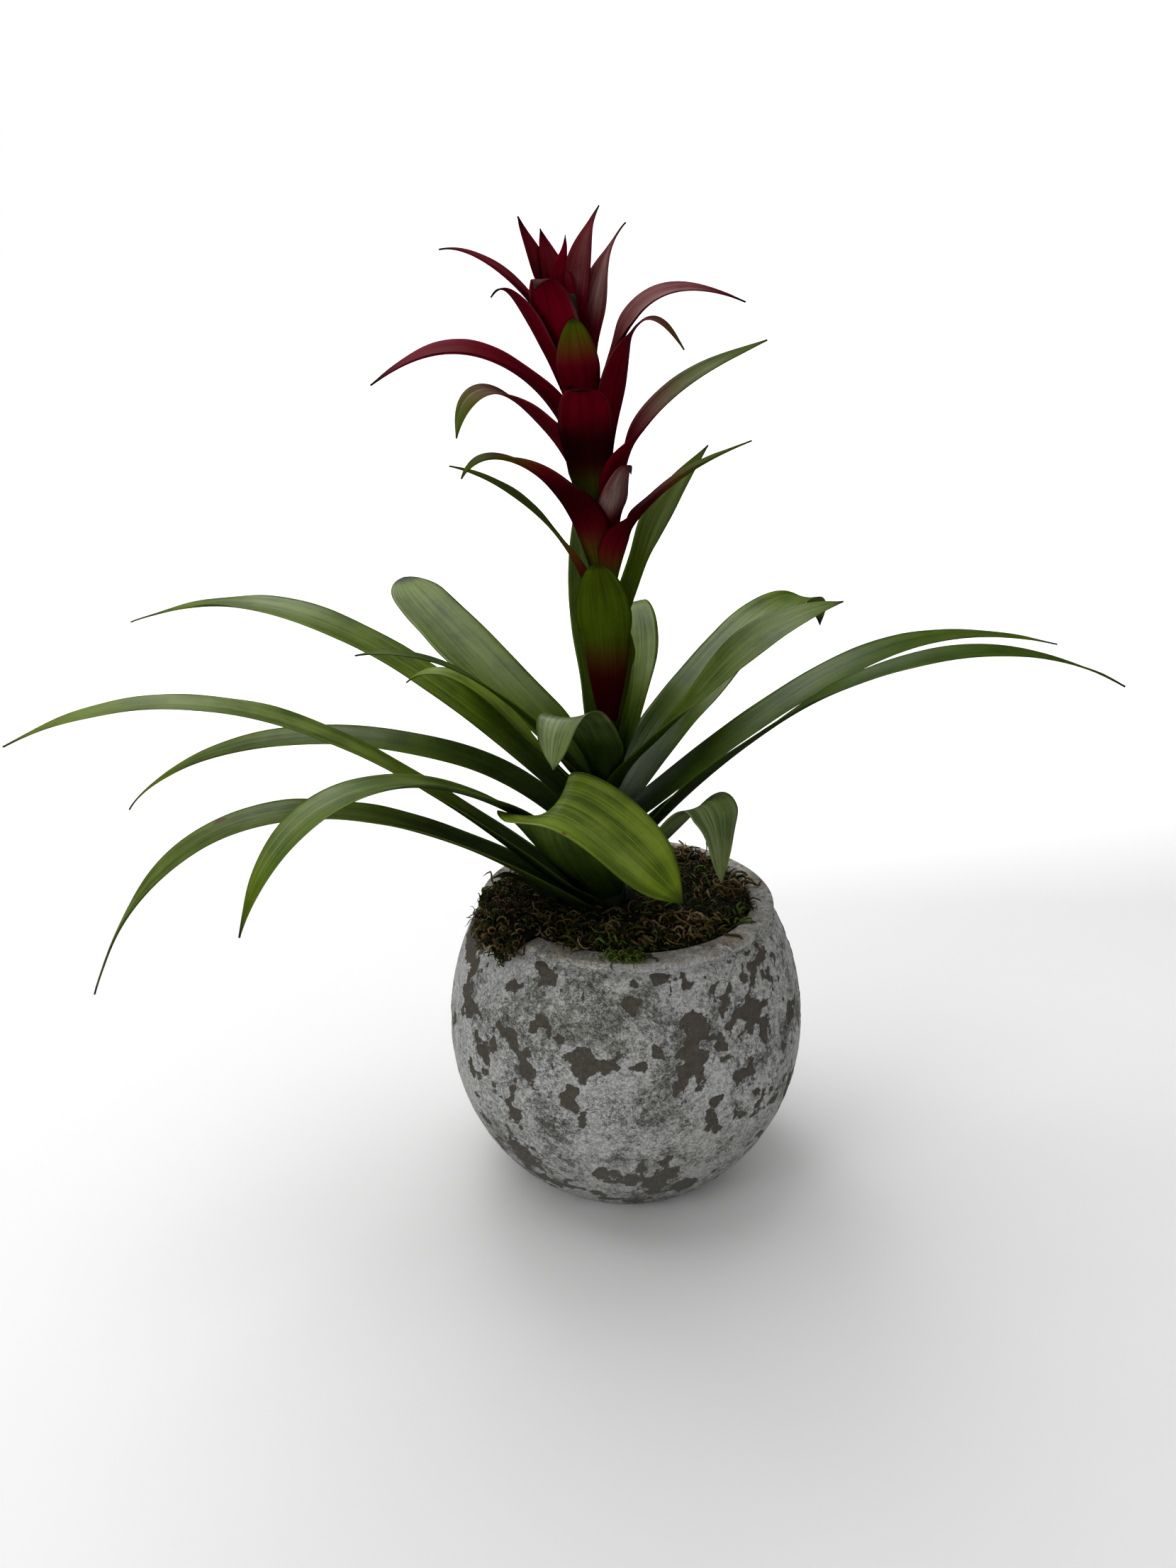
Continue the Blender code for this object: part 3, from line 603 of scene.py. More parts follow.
def blade_middle(base, azimuth, flare, stem, sheath, curl, tip, dip, head, handles, width,
                 base_width, channel, roll, counts, edge, blunt=0.0):
    """The middle surface as a grid, with the share of the whole length and of the
    free blade at each station. Sheath radius = stem + flare h + curl h h at height h
    above the base. Blade = cubic curve from the sheath's end to the tip, whose
    handles follow the lean at its start and the dip at its tip."""
    out, side = heading(azimuth), heading(azimuth + 90.0)
    lean = np.array([*(out[:2] * (flare + 2.0 * curl * sheath)), 1.0])
    lean[0] -= 2.0 * AXIS_BOW * (base + sheath - AXIS_BOW_HEIGHT)
    lean /= np.linalg.norm(lean)
    low = np.linspace(base, base + sheath, counts[0])
    radius = stem + flare * (low - base) + curl * (low - base) ** 2
    axis = np.stack([axis_x(low), np.full_like(low, AXIS_Y), low], axis=1)
    centre = axis + out * radius[:, None]
    start = centre[-1]
    reach, height, tip_azimuth = tip
    end = np.array([axis_x(base), AXIS_Y, 0.0]) + heading(tip_azimuth) * reach + [0, 0, height]
    falling = math.radians(dip)
    finish = heading(head) * math.cos(falling) - np.array([0.0, 0.0, math.sin(falling)])
    t = np.linspace(0.0, 1.0, counts[1] + 1)[1:, None]
    curve, along = cubic(start, start + lean * handles[0], end - finish * handles[1], end, t)
    sides, bends = blade_sides(out, side, along, t, roll, counts[0])
    centre = np.concatenate([centre, curve])
    step = np.concatenate([[0.0], np.cumsum(np.linalg.norm(np.diff(centre, axis=0), axis=1))])
    u = step / step[-1]
    free_from = step[counts[0] - 1]
    blade = (step - free_from) / (step[-1] - free_from)
    opened = smooth(blade, 0.0, CHANNEL_OPEN)
    full = np.concatenate([radius, np.full(counts[1], radius[-1])])
    curvature = (1 - opened) / full + opened / channel
    half = blade_widths(u, width, base_width, edge, blunt) / 2.0
    bend = curvature[:, None] * (half[:, None] * np.linspace(-1.0, 1.0, counts[2])[None, :])
    x, y = np.sin(bend) / curvature[:, None], (1 - np.cos(bend)) / curvature[:, None]
    grid = centre[:, None] + sides[:, None] * x[:, :, None] + bends[:, None] * y[:, :, None]
    return grid, u, blade


def closed_blade(grid, thickness):
    """Two faces of a blade as one ring of columns. Half thickness = thickness / 2
    times the root of 1 - s s s s, with s from -1 to 1 across, so edges end round."""
    along, across = np.gradient(grid, axis=0), np.gradient(grid, axis=1)
    normal = unit(np.cross(along, across))
    s = np.linspace(-1.0, 1.0, grid.shape[1])
    lift = normal * (thickness / 2.0 * np.sqrt(np.clip(1.0 - s ** 4, 0.0, 1.0)))[None, :, None]
    return np.concatenate([grid + lift, (grid - lift)[:, -2:0:-1]], axis=1)


print("blade formula ready")

# %% [markdown]
# ## The leaves' numbers
# One row a leaf, from the lowest and outermost to the innermost: where it leaves
# the stem, how its sheath flares, where its tip lies, how it arches, its width and
# roll. The last three say how yellowish it is, how much bloom and painted sheen it
# carries and how dark it is, as seen in the photograph.

# %% The leaf table
# name without leaf_, azimuth, sheath, curl, tip azimuth, reach, height, dip, heading,
# handles, width, roll, yellow, bloom and painted sheen, dark
LEAF_ROWS = (
    ("stub", 186, 11, 0.050, 200, 52, 166, 10, 204, 20, 12, 15, 0, 0.0, 0.0, 0.7),
    ("low_left", 203, 12, 0.040, 203, 232, 145, 71, 188, 142, 84, 31, 4, 0.5, 0.32, 0.0),
    ("long_left", 199, 14, 0.036, 197, 254, 250, 26, 193, 46, 118, 29, 0, 0.6, 0.3, 0.0),
    ("front_wide", 242, 14, 0.030, 294, 86, 182, 38, 332, 68, 99, 45, 14, 0.85, 0.2, 0.0),
    ("front_right", 324, 14, 0.028, 319, 72, 177, 84, 302, 34, 66, 29, 6, 0.15, 0.85, 0.0),
    ("low_left_front", 218, 16, 0.025, 222, 188, 190, 74, 212, 131, 43, 33, 12, 0.3, 0.3, 0.0),
    ("long_right_low", 350, 16, 0.025, 348, 226, 268, 27, 382, 24, 146, 25, 0, 0.1, 0.06, 0.1),
    ("left_mid", 175, 16, 0.025, 182, 225, 197, 58, 185, 87, 46, 31, 0, 0.35, 0.18, 0.05),
    ("long_right_high", 12, 20, 0.025, 12, 233, 264, 14, 12, 108, 82, 28, 0, 0.15, 0.08, 0.1),
    ("back_left_far", 166, 20, 0.023, 168, 241, 275, 21, 168, 120, 75, 34, 0, 0.45, 0.17, 0.0),
    ("back_right", 42, 18, 0.020, 42, 161, 261, 77, 42, 64, 50, 35, 0, 0.4, 0.25, 0.08),
    ("back_left_mid", 196, 18, 0.018, 182, 92, 258, 40, 174, 28, 34, 18, 0, 0.9, 0.11, 0.0),
    ("back_left_broad", 154, 18, 0.018, 136, 149, 288, -20, 108, 34, 24, 34, -12, 0.4, 0.2, 0.14),
    ("left_narrow", 203, 18, 0.019, 203, 116, 281, 7, 200, 24, 46, 23, 0, 0.1, 0.06, 0.2),
    ("right_rolled", 340, 20, 0.016, 352, 105, 298, -14, 356, 42, 46, 27, 22, 0.3, 0.22, 0.0),
    ("front_curled", 242, 20, 0.010, 242, 51, 230, 85, 248, 37, 19, 31, 18, 0.1, 0.85, 0.0),
    ("back_upright", 68, 20, 0.006, 86, 78, 270, 58, 88, 52, 28, 31, 0, 0.6, 0.33, 0.0),
    ("tall_back", 100, 24, 0.003, 112, 42, 330, -72, 116, 24, 40, 21, 0, 0.3, 0.11, 0.1),
)
LEAVES = [("leaf_" + name, *numbers) for name, *numbers in LEAF_ROWS]
print(len(LEAVES), "leaves")

# %% [markdown]
# ## Making the leaves
# The finer leaf keeps the form of the solid that it stands for. On top of that
# come what a growing leaf has: an edge that waves a little, a surface that swells
# and dips, a thin dark point. The waves fade to nothing in the sheath, where the
# leaves nest inside one another.

# %% Leaf makers
# Points along the sheath, along the blade and across
LEAF_COUNTS = (9, 72, 19)
BRACT_COUNTS = (8, 50, 15)
# The least width, and the waves: the edge's, the surface's and their length
LEAF_EDGE, LEAF_WAVES = 0.5, (0.9, 0.6, 22.0)
BRACT_EDGE, BRACT_WAVES = 0.4, (0.35, 0.25, 12.0)
SEED_STEP = 3.7
# Leaves with a blunt tip: the share of the length over which the end is rounded
BLUNT = {"leaf_back_left_broad": 0.13, "leaf_back_left_mid": 0.1, "leaf_back_upright": 0.14,
         "bract_front_upright": 0.34, "bract_front_green": 0.3}
# Scars: share of the length and of the width, and half its size in the same shares
SCARS = {
    "leaf_front_wide": ((0.62, 0.04, 0.012, 0.03),),
    "leaf_low_left": ((0.66, 0.1, 0.012, 0.06),),
    "leaf_front_right": ((0.5, 0.9, 0.02, 0.05),),
}
# From this bloom and painted sheen up, a leaf's tip carries them too
WHOLE_BLOOM_SHEEN = 0.8
# Shares of the blade over which the waves begin and end
WAVES_BEGIN, WAVES_END = (0.06, 0.35), (0.93, 1.0)
SWELL_CELLS = 2.2
# Where each look of a leaf comes in or fades out: shares of its length, and for the
# rim of its half width. The near black base and the darker under face are painted
# shade.
BASE_SHADE, TIP_DARK, UNDER_SHADE = (0.0, 0.2), (0.955, 0.99), (0.15, 0.5)
# The pale rim is a painted highlight along the edge
YELLOW_IN, PALE_TIP, RIM_HIGHLIGHT = (0.06, 0.42), (0.8, 0.95), (0.88, 0.98)
# Where the bloom and its painted sheen come in and fade out along a leaf
BLOOM_SHEEN_IN, BLOOM_SHEEN_OUT = (0.25, 0.6), (0.8, 0.96)
# Across a leaf the bloom and painted sheen are strongest on a line: its place, and
# how fast they fade
BLOOM_SHEEN_LINE = (0.38, 0.17)


def waved(grid, u, blade, edge_wave, swell, cell, seed):
    """The grid moved along its own normals: an edge wave = cube of the distance from
    the middle line times a random field along the edge, plus a broad random swell."""
    along, across = np.gradient(grid, axis=0), np.gradient(grid, axis=1)
    normal = unit(np.cross(along, across))
    s = np.linspace(-1.0, 1.0, grid.shape[1])[None, :]
    free = smooth(blade, *WAVES_BEGIN)[:, None] * (1.0 - smooth(u, *WAVES_END))[:, None]
    edge = (field(grid, cell, seed) - 0.5) * 2.0 * edge_wave * np.abs(s) ** 3
    broad = (field(grid, cell * SWELL_CELLS, seed + 5) - 0.5) * 2.0 * swell
    return grid + normal * ((edge + broad) * free)[:, :, None]


def blade_piece(name, middle, thickness, waves, material, looks, seed):
    """One leaf or bract: its middle surface waved, closed, mapped and replaced.
    The map runs from edge to edge and from base to tip, alike on both faces."""
    grid, u, blade = middle
    ring = closed_blade(waved(grid, u, blade, *waves, seed), thickness)
    rows, columns = ring.shape[:2]
    n = grid.shape[1]
    over = np.linspace(0.0, 1.0, n)
    side = np.tile(np.concatenate([over, over[-2:0:-1]]), (rows, 1))
    length = np.tile(u[:, None], (1, columns))
    under = np.tile((np.arange(columns) >= n).astype(float), (rows, 1))
    values = {key: value(length, side, under) for key, value in looks.items()}
    values["under"] = under
    values["scar"] = scar_mask(name, length, side)
    values["seed"] = np.full((rows, columns), seed * SEED_STEP)
    piece = mesh_piece(name + "_fine", ring.reshape(-1, 3),
                       grid_faces(rows, columns, True, False, False), material, values,
                       np.stack([side, length], axis=-1))
    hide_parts(name)
    return piece


def scar_mask(name, length, side):
    """How near each point is to the blade's scars: 1 at the middle of one, falling to
    0 at twice its size, in shares of the blade's length and width."""
    mask = np.zeros_like(length)
    for along, across, size_along, size_across in SCARS.get(name, ()):
        far = np.hypot((length - along) / size_along, (side - across) / size_across)
        mask = np.maximum(mask, 1.0 - smooth(far, 0.0, 2.0))
    return mask


def line_share(s, place, width):
    """How near s is to a line: 1 on it, falling as exp(-x x) with x = distance / width."""
    return np.exp(-((s - place) / width) ** 2)


def leaf_middle(index):
    """The middle surface of a leaf from its row of numbers. Its base lies on the stem
    at the leaf's own height, a little further out where the stem is thick."""
    (name, azimuth, sheath, curl, tip_azimuth, reach, height, dip, head, h1, h2, width,
     roll) = LEAVES[index][:13]
    base = LEAF_START + LEAF_STEP * index
    seat = float(stem_radius(base) + GAP + LEAF_THICKNESS / 2 + LEAF_SEAT * foot_share(base))
    return blade_middle(base, azimuth, LEAF_FLARE, seat, sheath, curl,
                        (reach, height, tip_azimuth), dip, head, (h1, h2), width,
                        max(LEAF_BASE_WIDTH, LEAF_BASE_WRAP * seat), LEAF_CHANNEL, roll,
                        LEAF_COUNTS, LEAF_EDGE, BLUNT.get(name, 0.0))


def leaf_looks(yellow, bloom_and_sheen, dark):
    """Numbers on a leaf's points, for v along it, s across it and under, which is 1
    on its under face: painted shade near black at the base and darker on the under
    face, a dark very tip, yellowish by the leaf's own number with a pale rim that
    paints a highlight along the edge, and bloom with painted sheen in a long band
    past its middle."""
    # Painted shade: near black at the base and darker on the under face; the very tip is really
    # dark
    def darkness(v, s, under):
        ends = np.maximum(1.0 - smooth(v, *BASE_SHADE), smooth(v, *TIP_DARK))
        below = under * (0.12 + 0.55 * (1.0 - smooth(v, *UNDER_SHADE)))
        return np.clip(0.85 * np.maximum(ends, below) + dark, 0.0, 0.95)

    def paleness(v, s, under):
        face = yellow * smooth(v, *YELLOW_IN) * (1.0 - 0.85 * under)
        # Painted highlight: a pale line along both edges
        rim = 0.3 * smooth(np.abs(2.0 * s - 1.0), *RIM_HIGHLIGHT)
        tip = 0.35 * smooth(v, *PALE_TIP) * (yellow > 0)
        return np.clip(face + rim + tip, 0.0, 1.0)

    # Bloom, with the sheen of the upper faces painted into it
    def bloom_sheen_share(v, s, under):
        across = 0.55 + 0.45 * line_share(s, *BLOOM_SHEEN_LINE)
        ended = smooth(v, *BLOOM_SHEEN_OUT) * (bloom_and_sheen < WHOLE_BLOOM_SHEEN)
        return bloom_and_sheen * across * smooth(v, *BLOOM_SHEEN_IN) * (1.0 - 0.3 * under) * (1.0 - ended)
    return {"dark": darkness, "pale": paleness, "bloom_and_sheen": bloom_sheen_share}


leaf_pieces = [
    blade_piece(row[0], leaf_middle(index), LEAF_THICKNESS, LEAF_WAVES, leaf_material,
                leaf_looks(*row[-3:]), index + 1)
    for index, row in enumerate(LEAVES)]
print("leaves:", len(leaf_pieces), "faces each:", len(leaf_pieces[0].data.polygons))

# %% [markdown]
# ## The bracts
# Bracts are the coloured leaves of the flower spike. They are made as the leaves
# are, with smaller numbers. The last four numbers of each row say up to which
# share of its length it is green at the base (0: not green there), from which
# share it is green at the tip (2: it stays red and its tip is dark), how near
# black its middle is, and how much bloom and painted sheen its upper face has.
# What that number has over 1 goes to the under face, for a bract that shows it.

# %% The bract table
# name without bract_, azimuth, sheath, curl, tip azimuth, reach, height, dip,
# heading, handles, width, roll, green base, green tip, dark middle, bloom and
# painted sheen
BRACT_ROWS = (
    ("sheath_low", 60, 34, 0, 62, 15, 288, -74, 62, 12, 10, 22, 0, 2, 2, 0.2, 0),
    ("front_green", 268, 37, 0, 252, 19, 315, -64, 250, 12, 10, 27, 0, 0, 0.38, 0.85, 0.05),
    ("left_thin", 194, 20, 0.003, 194, 69, 356, -10, 190, 20, 30, 16, -18, 0, 0.35, 0.2, 0.12),
    ("right_green", 12, 30, 0.0038, 25, 50, 362, -45, 25, 26, 40, 25, 0, 0, 0.1, 0.1, 0.3),
    ("right_low", 322, 20, 0.006, 350, 63, 366, -22, 354, 14, 40, 25, 0, 0.12, 0.62, 0.7, 0.3),
    ("left_low", 227, 20, 0.004, 208, 67, 352, 66, 200, 32, 20, 29, 0, 0.14, 0.74, 0.8, 0.35),
    ("front_right_fold", 306, 20, 0.004, 299, 24, 353, 60, 290, 14, 12, 17, 0, 0, 2, 0, 2.6),
    ("right_mid", 336, 20, 0.004, 353, 69, 406, -22, 357, 18, 64, 26, 14, 0.1, 0.6, 0.1, 0.8),
    ("front_point", 261, 26, 0.004, 261, 59, 387, 6, 260, 20, 26, 24, 0, 0.3, 2, 0.95, 0.21),
    ("left_green_tip", 207, 20, 0.004, 208, 66, 368, 80, 205, 22, 40, 24, -10, 0.16, 0.78,
     0.2, 0.75),
    ("right_front", 313, 20, 0.003, 332, 40, 402, 56, 336, 14, 48, 18, 10, 0.12, 0.9, 0.1, 0.8),
    ("left_big", 184, 20, 0.003, 184, 95, 388, 36, 184, 20, 56, 28, -12, 0.1, 2, 0, 0),
    ("right_high", 354, 20, 0.005, 3, 64, 421, 20, 6, 8, 66, 25, 12, 0, 2, 0.1, 0.95),
    ("front_upright", 268, 28, 0.003, 248, 20, 414, -72, 248, 8, 8, 19, 0, 0, 0.8, 0.25, 0.21),
    ("left_high", 198, 20, 0.003, 198, 42, 422, 55, 198, 28, 14, 22, 0, 0, 2, 0.3, 0.45),
    ("front_high", 236, 28, 0.002, 233, 34, 424, 60, 233, 18, 14, 24, 0, 0, 2, 0, 0.9),
    ("back_right_low", 60, 18, 0.003, 30, 20, 452, -40, 20, 16, 15, 15, 0, 0, 2, 0, 2.8),
    ("left_top", 172, 18, 0.003, 178, 59, 441, 12, 176, 16, 18, 24, -8, 0, 2, 0.1, 0.1),
    ("back_right_top", 78, 18, 0.003, 62, 18, 459, -48, 46, 16, 16, 13, 0, 0, 2, 0, 0.35),
    ("back_left_top", 156, 16, 0.003, 164, 25, 454, -64, 164, 10, 14, 23, 0, 0, 2, 0.6, 0.05),
    ("back_top", 110, 18, 0.001, 134, 20, 450, -66, 134, 10, 14, 15, 0, 0, 2, 0.2, 0.07),
    ("centre", 250, 12, 0, 250, 5, 446, -80, 250, 6, 8, 6, 0, 0, 2, 0.4, 0),
)
BRACTS = [("bract_" + name, *numbers) for name, *numbers in BRACT_ROWS]
# The base heights of those that stand below the spike's even steps
LOW_BASES = {"bract_sheath_low": 228.0, "bract_front_green": 239.5, "bract_right_green": 268.0}
LOWEST_EVEN_BRACT = 2
print(len(BRACTS), "bracts")

# %% [markdown]
# ## Making the bracts
# The same blade maker serves. The three lowest bases stand apart on the green
# stem, and the others climb the stalk in even steps, as their sheaths do.

# %% Bract makers
FIRST_BRACT_SEED = 31
# Where each look of a bract comes in or fades out, in shares of its length. The
# darkening of a sheath that isn't green is painted shade.
BAND_IN, BAND_OUT, SHEATH_SHADE = (0.12, 0.4), (0.46, 0.72), (0.12, 0.38)
DARK_END, DARK_TIP = (0.85, 0.97), (0.95, 0.99)
# Bracts' bloom, mostly painted sheen: where it comes in and fades out, and its line
BRACT_BLOOM_SHEEN_IN, BRACT_BLOOM_SHEEN_OUT = (0.38, 0.6), (0.76, 0.92)
BRACT_BLOOM_SHEEN_LINE = (0.36, 0.2)


def bract_middle(index):
    """The middle surface of a bract from its row of numbers."""
    (name, azimuth, sheath, curl, tip_azimuth, reach, height, dip, head, h1, h2, width,
     roll) = BRACTS[index][:13]
    base = LOW_BASES.get(name)
    flare, base_width = LOW_BRACT_FLARE, LOW_BRACT_BASE_WIDTH
    if base is None:
        base = BRACT_START + BRACT_STEP * (index - LOWEST_EVEN_BRACT)
        flare, base_width = BRACT_FLARE, BRACT_BASE_WIDTH
    return blade_middle(base, azimuth, flare, STALK_RADIUS + GAP + BRACT_THICKNESS / 2, sheath,
                        curl, (reach, height, tip_azimuth), dip, head, (h1, h2), width, base_width,
                        BRACT_CHANNEL, roll, BRACT_COUNTS, BRACT_EDGE, BLUNT.get(name, 0.0))


def bract_looks(green_base, green_tip, dark_middle, bloom_and_sheen):
    """Numbers on a bract's points, as for a leaf: green at its base and tip by its
    row, near black in a band between, at a tip end that isn't green and at the very
    tip, painted shade at a sheath end that isn't green, and bloom with painted
    sheen on its faces."""
    def tip(v):
        return smooth(v, green_tip - 0.16, green_tip + 0.2)

    def green(v, s, under):
        base = (1.0 - smooth(v, green_base - 0.1, green_base + 0.16)) * (green_base > 0)
        return np.clip(np.maximum(base, tip(v)), 0.0, 1.0)

    def dark(v, s, under):
        band = smooth(v, *BAND_IN) * (1.0 - smooth(v, *BAND_OUT))
        middle = band * dark_middle * (1.0 - 0.8 * tip(v))
        ends = 0.8 * smooth(v, *DARK_END) * (green_tip > 1) + 0.6 * smooth(v, *DARK_TIP)
        # Painted shade at the base of a sheath that isn't green
        sheath = 0.85 * (1.0 - smooth(v, *SHEATH_SHADE)) * (green_base <= 0)
        return np.clip(middle + ends + sheath, 0.0, 1.0)

    # Bloom, mostly painted sheen, on the upper face, or on the under face above 1
    def bloom_sheen_share(v, s, under):
        faces = min(bloom_and_sheen, 1.0) * (1.0 - under) + max(bloom_and_sheen - 1.0, 0.0) * under
        across = 0.45 + 0.55 * line_share(s, *BRACT_BLOOM_SHEEN_LINE)
        ended = 0.8 * smooth(v, *BRACT_BLOOM_SHEEN_OUT)
        return faces * across * smooth(v, *BRACT_BLOOM_SHEEN_IN) * (1.0 - ended)
    return {"dark": dark, "pale": green, "bloom_and_sheen": bloom_sheen_share}


bract_pieces = [
    blade_piece(row[0], bract_middle(index), BRACT_THICKNESS, BRACT_WAVES, bract_material,
                bract_looks(*row[-4:]), index + FIRST_BRACT_SEED)
    for index, row in enumerate(BRACTS)]
print("bracts:", len(bract_pieces), "faces each:", len(bract_pieces[0].data.polygons))

# %% [markdown]
# ## The stem
# The short stem and the flower stalk are grown as one piece. Little of it shows,
# so a plain tube with the same two radii and a soft dark green finish is enough.
# It keeps the solid's hole depth, so it stands in the soil as the real one does.

# %% Stem
SOIL_TOP = 137.0
STEM_HOLE_DEPTH = 55.0
STEM_SIDES = 32
STEM_DARK = (0.006, 0.012, 0.001, 1.0)
STEM_GREEN = (0.030, 0.045, 0.006, 1.0)


def stem_piece(material):
    """A tube of level rings about the bowed axis, thinner above the leaves."""
    z = np.linspace(SOIL_TOP - STEM_HOLE_DEPTH + GAP, STALK_TOP, 90)
    thinner = smooth(z, STALK_START - 6.0, STALK_START)
    radius = stem_radius(z) + (STALK_RADIUS - STEM_RADIUS) * thinner
    radius = np.where(z < SOIL_TOP + GAP, STEM_RADIUS, radius)
    radius[0] = STEM_RADIUS * 0.8
    angle = np.linspace(0.0, 2.0 * math.pi, STEM_SIDES, endpoint=False)
    x = axis_x(np.maximum(z, SOIL_TOP))[:, None] + radius[:, None] * np.cos(angle)
    y = AXIS_Y + radius[:, None] * np.sin(angle)
    rings = np.stack([x, y, np.repeat(z[:, None], STEM_SIDES, axis=1)], axis=-1)
    piece = tube_piece("stem_fine", capped(rings), material)
    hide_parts("stem")
    return piece


stem_material, tree, shader = new_material("stem_finish", Roughness=0.55)
wire(shader, Base_Color=blend(noise(place_on_plant(tree), 180.0, 4.0), STEM_DARK, STEM_GREEN))
stem = stem_piece(stem_material)
print("stem faces:", len(stem.data.polygons))

# %% [markdown]
# ## The pot's form
# The globe was thrown and left with a thin lip and a shallow groove under it. A
# profile turned about the upright axis gives it. Its whitewash has flaked: where
# it is gone, the surface lies a third of a millimetre deeper, with a raised,
# ragged edge. A random field decides where, and it is stored on the points, so the
# colours flake at the same places.

# %% Pot profile
POT_RADIUS = 90.0
POT_HEIGHT = 146.5
POT_WAIST_HEIGHT = 78.0
POT_UPPER_DOME = 107.0
POT_LOWER_DOME = 96.0
POT_WALL = 7.0
MOUTH_RADIUS = 61.8
POT_FLOOR = 9.0
LIP_HEIGHT = 4.2
LIP_OVERHANG = 1.1
GROOVE_DEPTH = 0.9
FLAKE_EDGE = 0.62
FLAKE_DEPTH = 0.35
FLAKE_LIFT = 0.16
UNEVENNESS = 0.35
# The flake field: weight, width of its lumps, seed and octaves of each layer
FLAKE_LAYERS = ((0.2, 30.0, 3, 2), (0.5, 13.0, 9, 3), (0.3, 4.5, 15, 3))
FLAKE_CONTRAST = 2.0
# How much less the lip flakes, half the width of a flake's slope, and the width of
# the raised edge that stands beside it, all in values of the flake field
LIP_WHOLE, FLAKE_SLOPE, LIFT_WIDTH = 0.35, 0.015, 0.02
# The relief grows from nothing between these heights, and is weaker on the lip
RELIEF_IN = (3.0, 8.0)
LIP_CALM = 0.75
SIDE_STEP, LIP_STEP = 1.35, 0.55
INSIDE_POINTS = 30


def pot_radius(z):
    """The globe's outer radius: two half domes that meet at the waist."""
    dome = np.where(np.asarray(z) > POT_WAIST_HEIGHT, POT_UPPER_DOME, POT_LOWER_DOME)
    return POT_RADIUS * np.sqrt(1.0 - ((z - POT_WAIST_HEIGHT) / dome) ** 2)


def evenly(profile, step):
    """A profile's points spaced evenly along it, about one step apart."""
    way = np.concatenate([[0.0], np.cumsum(np.linalg.norm(np.diff(profile, axis=0), axis=1))])
    count = max(int(way[-1] / step), 2)
    at = np.linspace(0.0, way[-1], count)
    return np.column_stack([np.interp(at, way, profile[:, 0]), np.interp(at, way, profile[:, 1])])


def pot_profile():
    """Radius and height from the foot's middle, up the outside, over the lip and
    down inside to the floor's middle. The foot's edge, the lip and the mouth are
    rounded by a millimetre or so."""
    neck = POT_HEIGHT - LIP_HEIGHT
    lip = float(pot_radius(neck)) + LIP_OVERHANG
    foot = float(pot_radius(0.0))
    z = np.linspace(2.6, neck - 2.6, 160)
    bottom = np.array([(0.0, 0.0), (foot - 2.4, 0.0), (foot - 1.0, 0.35), (foot - 0.1, 1.2)])
    outside = np.column_stack([pot_radius(z), z])
    t = np.linspace(0.0, math.pi, 9)[1:-1]
    groove = np.column_stack([pot_radius(neck - 2.0 + t * 0.6) - GROOVE_DEPTH * np.sin(t),
                              neck - 2.2 + t * 0.62])
    turn = np.linspace(-0.5, 0.5, 13)[2:] * math.pi
    face = np.column_stack([lip - 1.2 + 1.2 * np.cos(turn), neck + 1.5 + 1.5 * np.sin(turn)])
    face[len(face) // 2:, 1] += LIP_HEIGHT - 3.0
    inside_z = np.linspace(POT_HEIGHT - 8.0, POT_FLOOR + 14.0, 24)
    mouth = np.array([(MOUTH_RADIUS + 1.6, POT_HEIGHT), (MOUTH_RADIUS + 0.5, POT_HEIGHT - 0.35),
                      (MOUTH_RADIUS, POT_HEIGHT - 1.3), (MOUTH_RADIUS + 0.2, neck - 1.0)])
    inside = np.column_stack([pot_radius(inside_z) - POT_WALL, inside_z])
    corner = float(pot_radius(POT_FLOOR)) - POT_WALL - 4.0
    floor = np.array([(corner, POT_FLOOR), (0.0, POT_FLOOR)])
    upper = np.concatenate([evenly(np.concatenate([outside[-1:], groove, face]), LIP_STEP), mouth])
    return np.concatenate([bottom, evenly(outside, SIDE_STEP), upper, inside, floor])


def pot_relief(points):
    """How far each point moves out, and the flake field: flaked where the field is
    above its edge; the depth there, a lip round it, and a fine unevenness."""
    layers = [weight * field(points, *layer) for weight, *layer in FLAKE_LAYERS]
    flake = layers[0] + layers[1] + layers[2]
    on_lip = smooth(points[..., 2], POT_HEIGHT - LIP_HEIGHT - 2.5, POT_HEIGHT - LIP_HEIGHT)
    flake = 0.5 + (flake - 0.5) * FLAKE_CONTRAST - LIP_WHOLE * on_lip
    bare = smooth(flake, FLAKE_EDGE - FLAKE_SLOPE, FLAKE_EDGE + FLAKE_SLOPE)
    lifted = np.exp(-((flake - FLAKE_EDGE + LIFT_WIDTH) / LIFT_WIDTH) ** 2)
    uneven = field(points, 6.0, 21, 3) - 0.5
    return -FLAKE_DEPTH * bare + FLAKE_LIFT * lifted + UNEVENNESS * uneven, flake


profile = pot_profile()
print("pot profile points:", len(profile), "foot radius:", round(float(pot_radius(0.0)), 1))

# %% [markdown]
# ## The pot's finish
# Whitewash over a taupe body: pale grey-white with grey smudges, fine dark specks
# like a crackle, bare taupe where it has flaked, with a pale edge that is partly
# painted highlight, a browner, rubbed lip, and painted shade that greys it
# towards the foot. Specks are too small to model, so they are noise in the shader
# with a bump; the flakes and their edges are real relief.

# %% Pot material and piece
WASH_PALE = (0.540, 0.547, 0.530, 1.0)
WASH_GREY = (0.190, 0.194, 0.178, 1.0)
WASH_DARK = (0.038, 0.037, 0.030, 1.0)
WASH_CREAM = (0.480, 0.460, 0.410, 1.0)
BODY_TAUPE = (0.085, 0.075, 0.060, 1.0)
BODY_LIGHT = (0.110, 0.098, 0.080, 1.0)
SPECK_DARK = (0.030, 0.030, 0.025, 1.0)
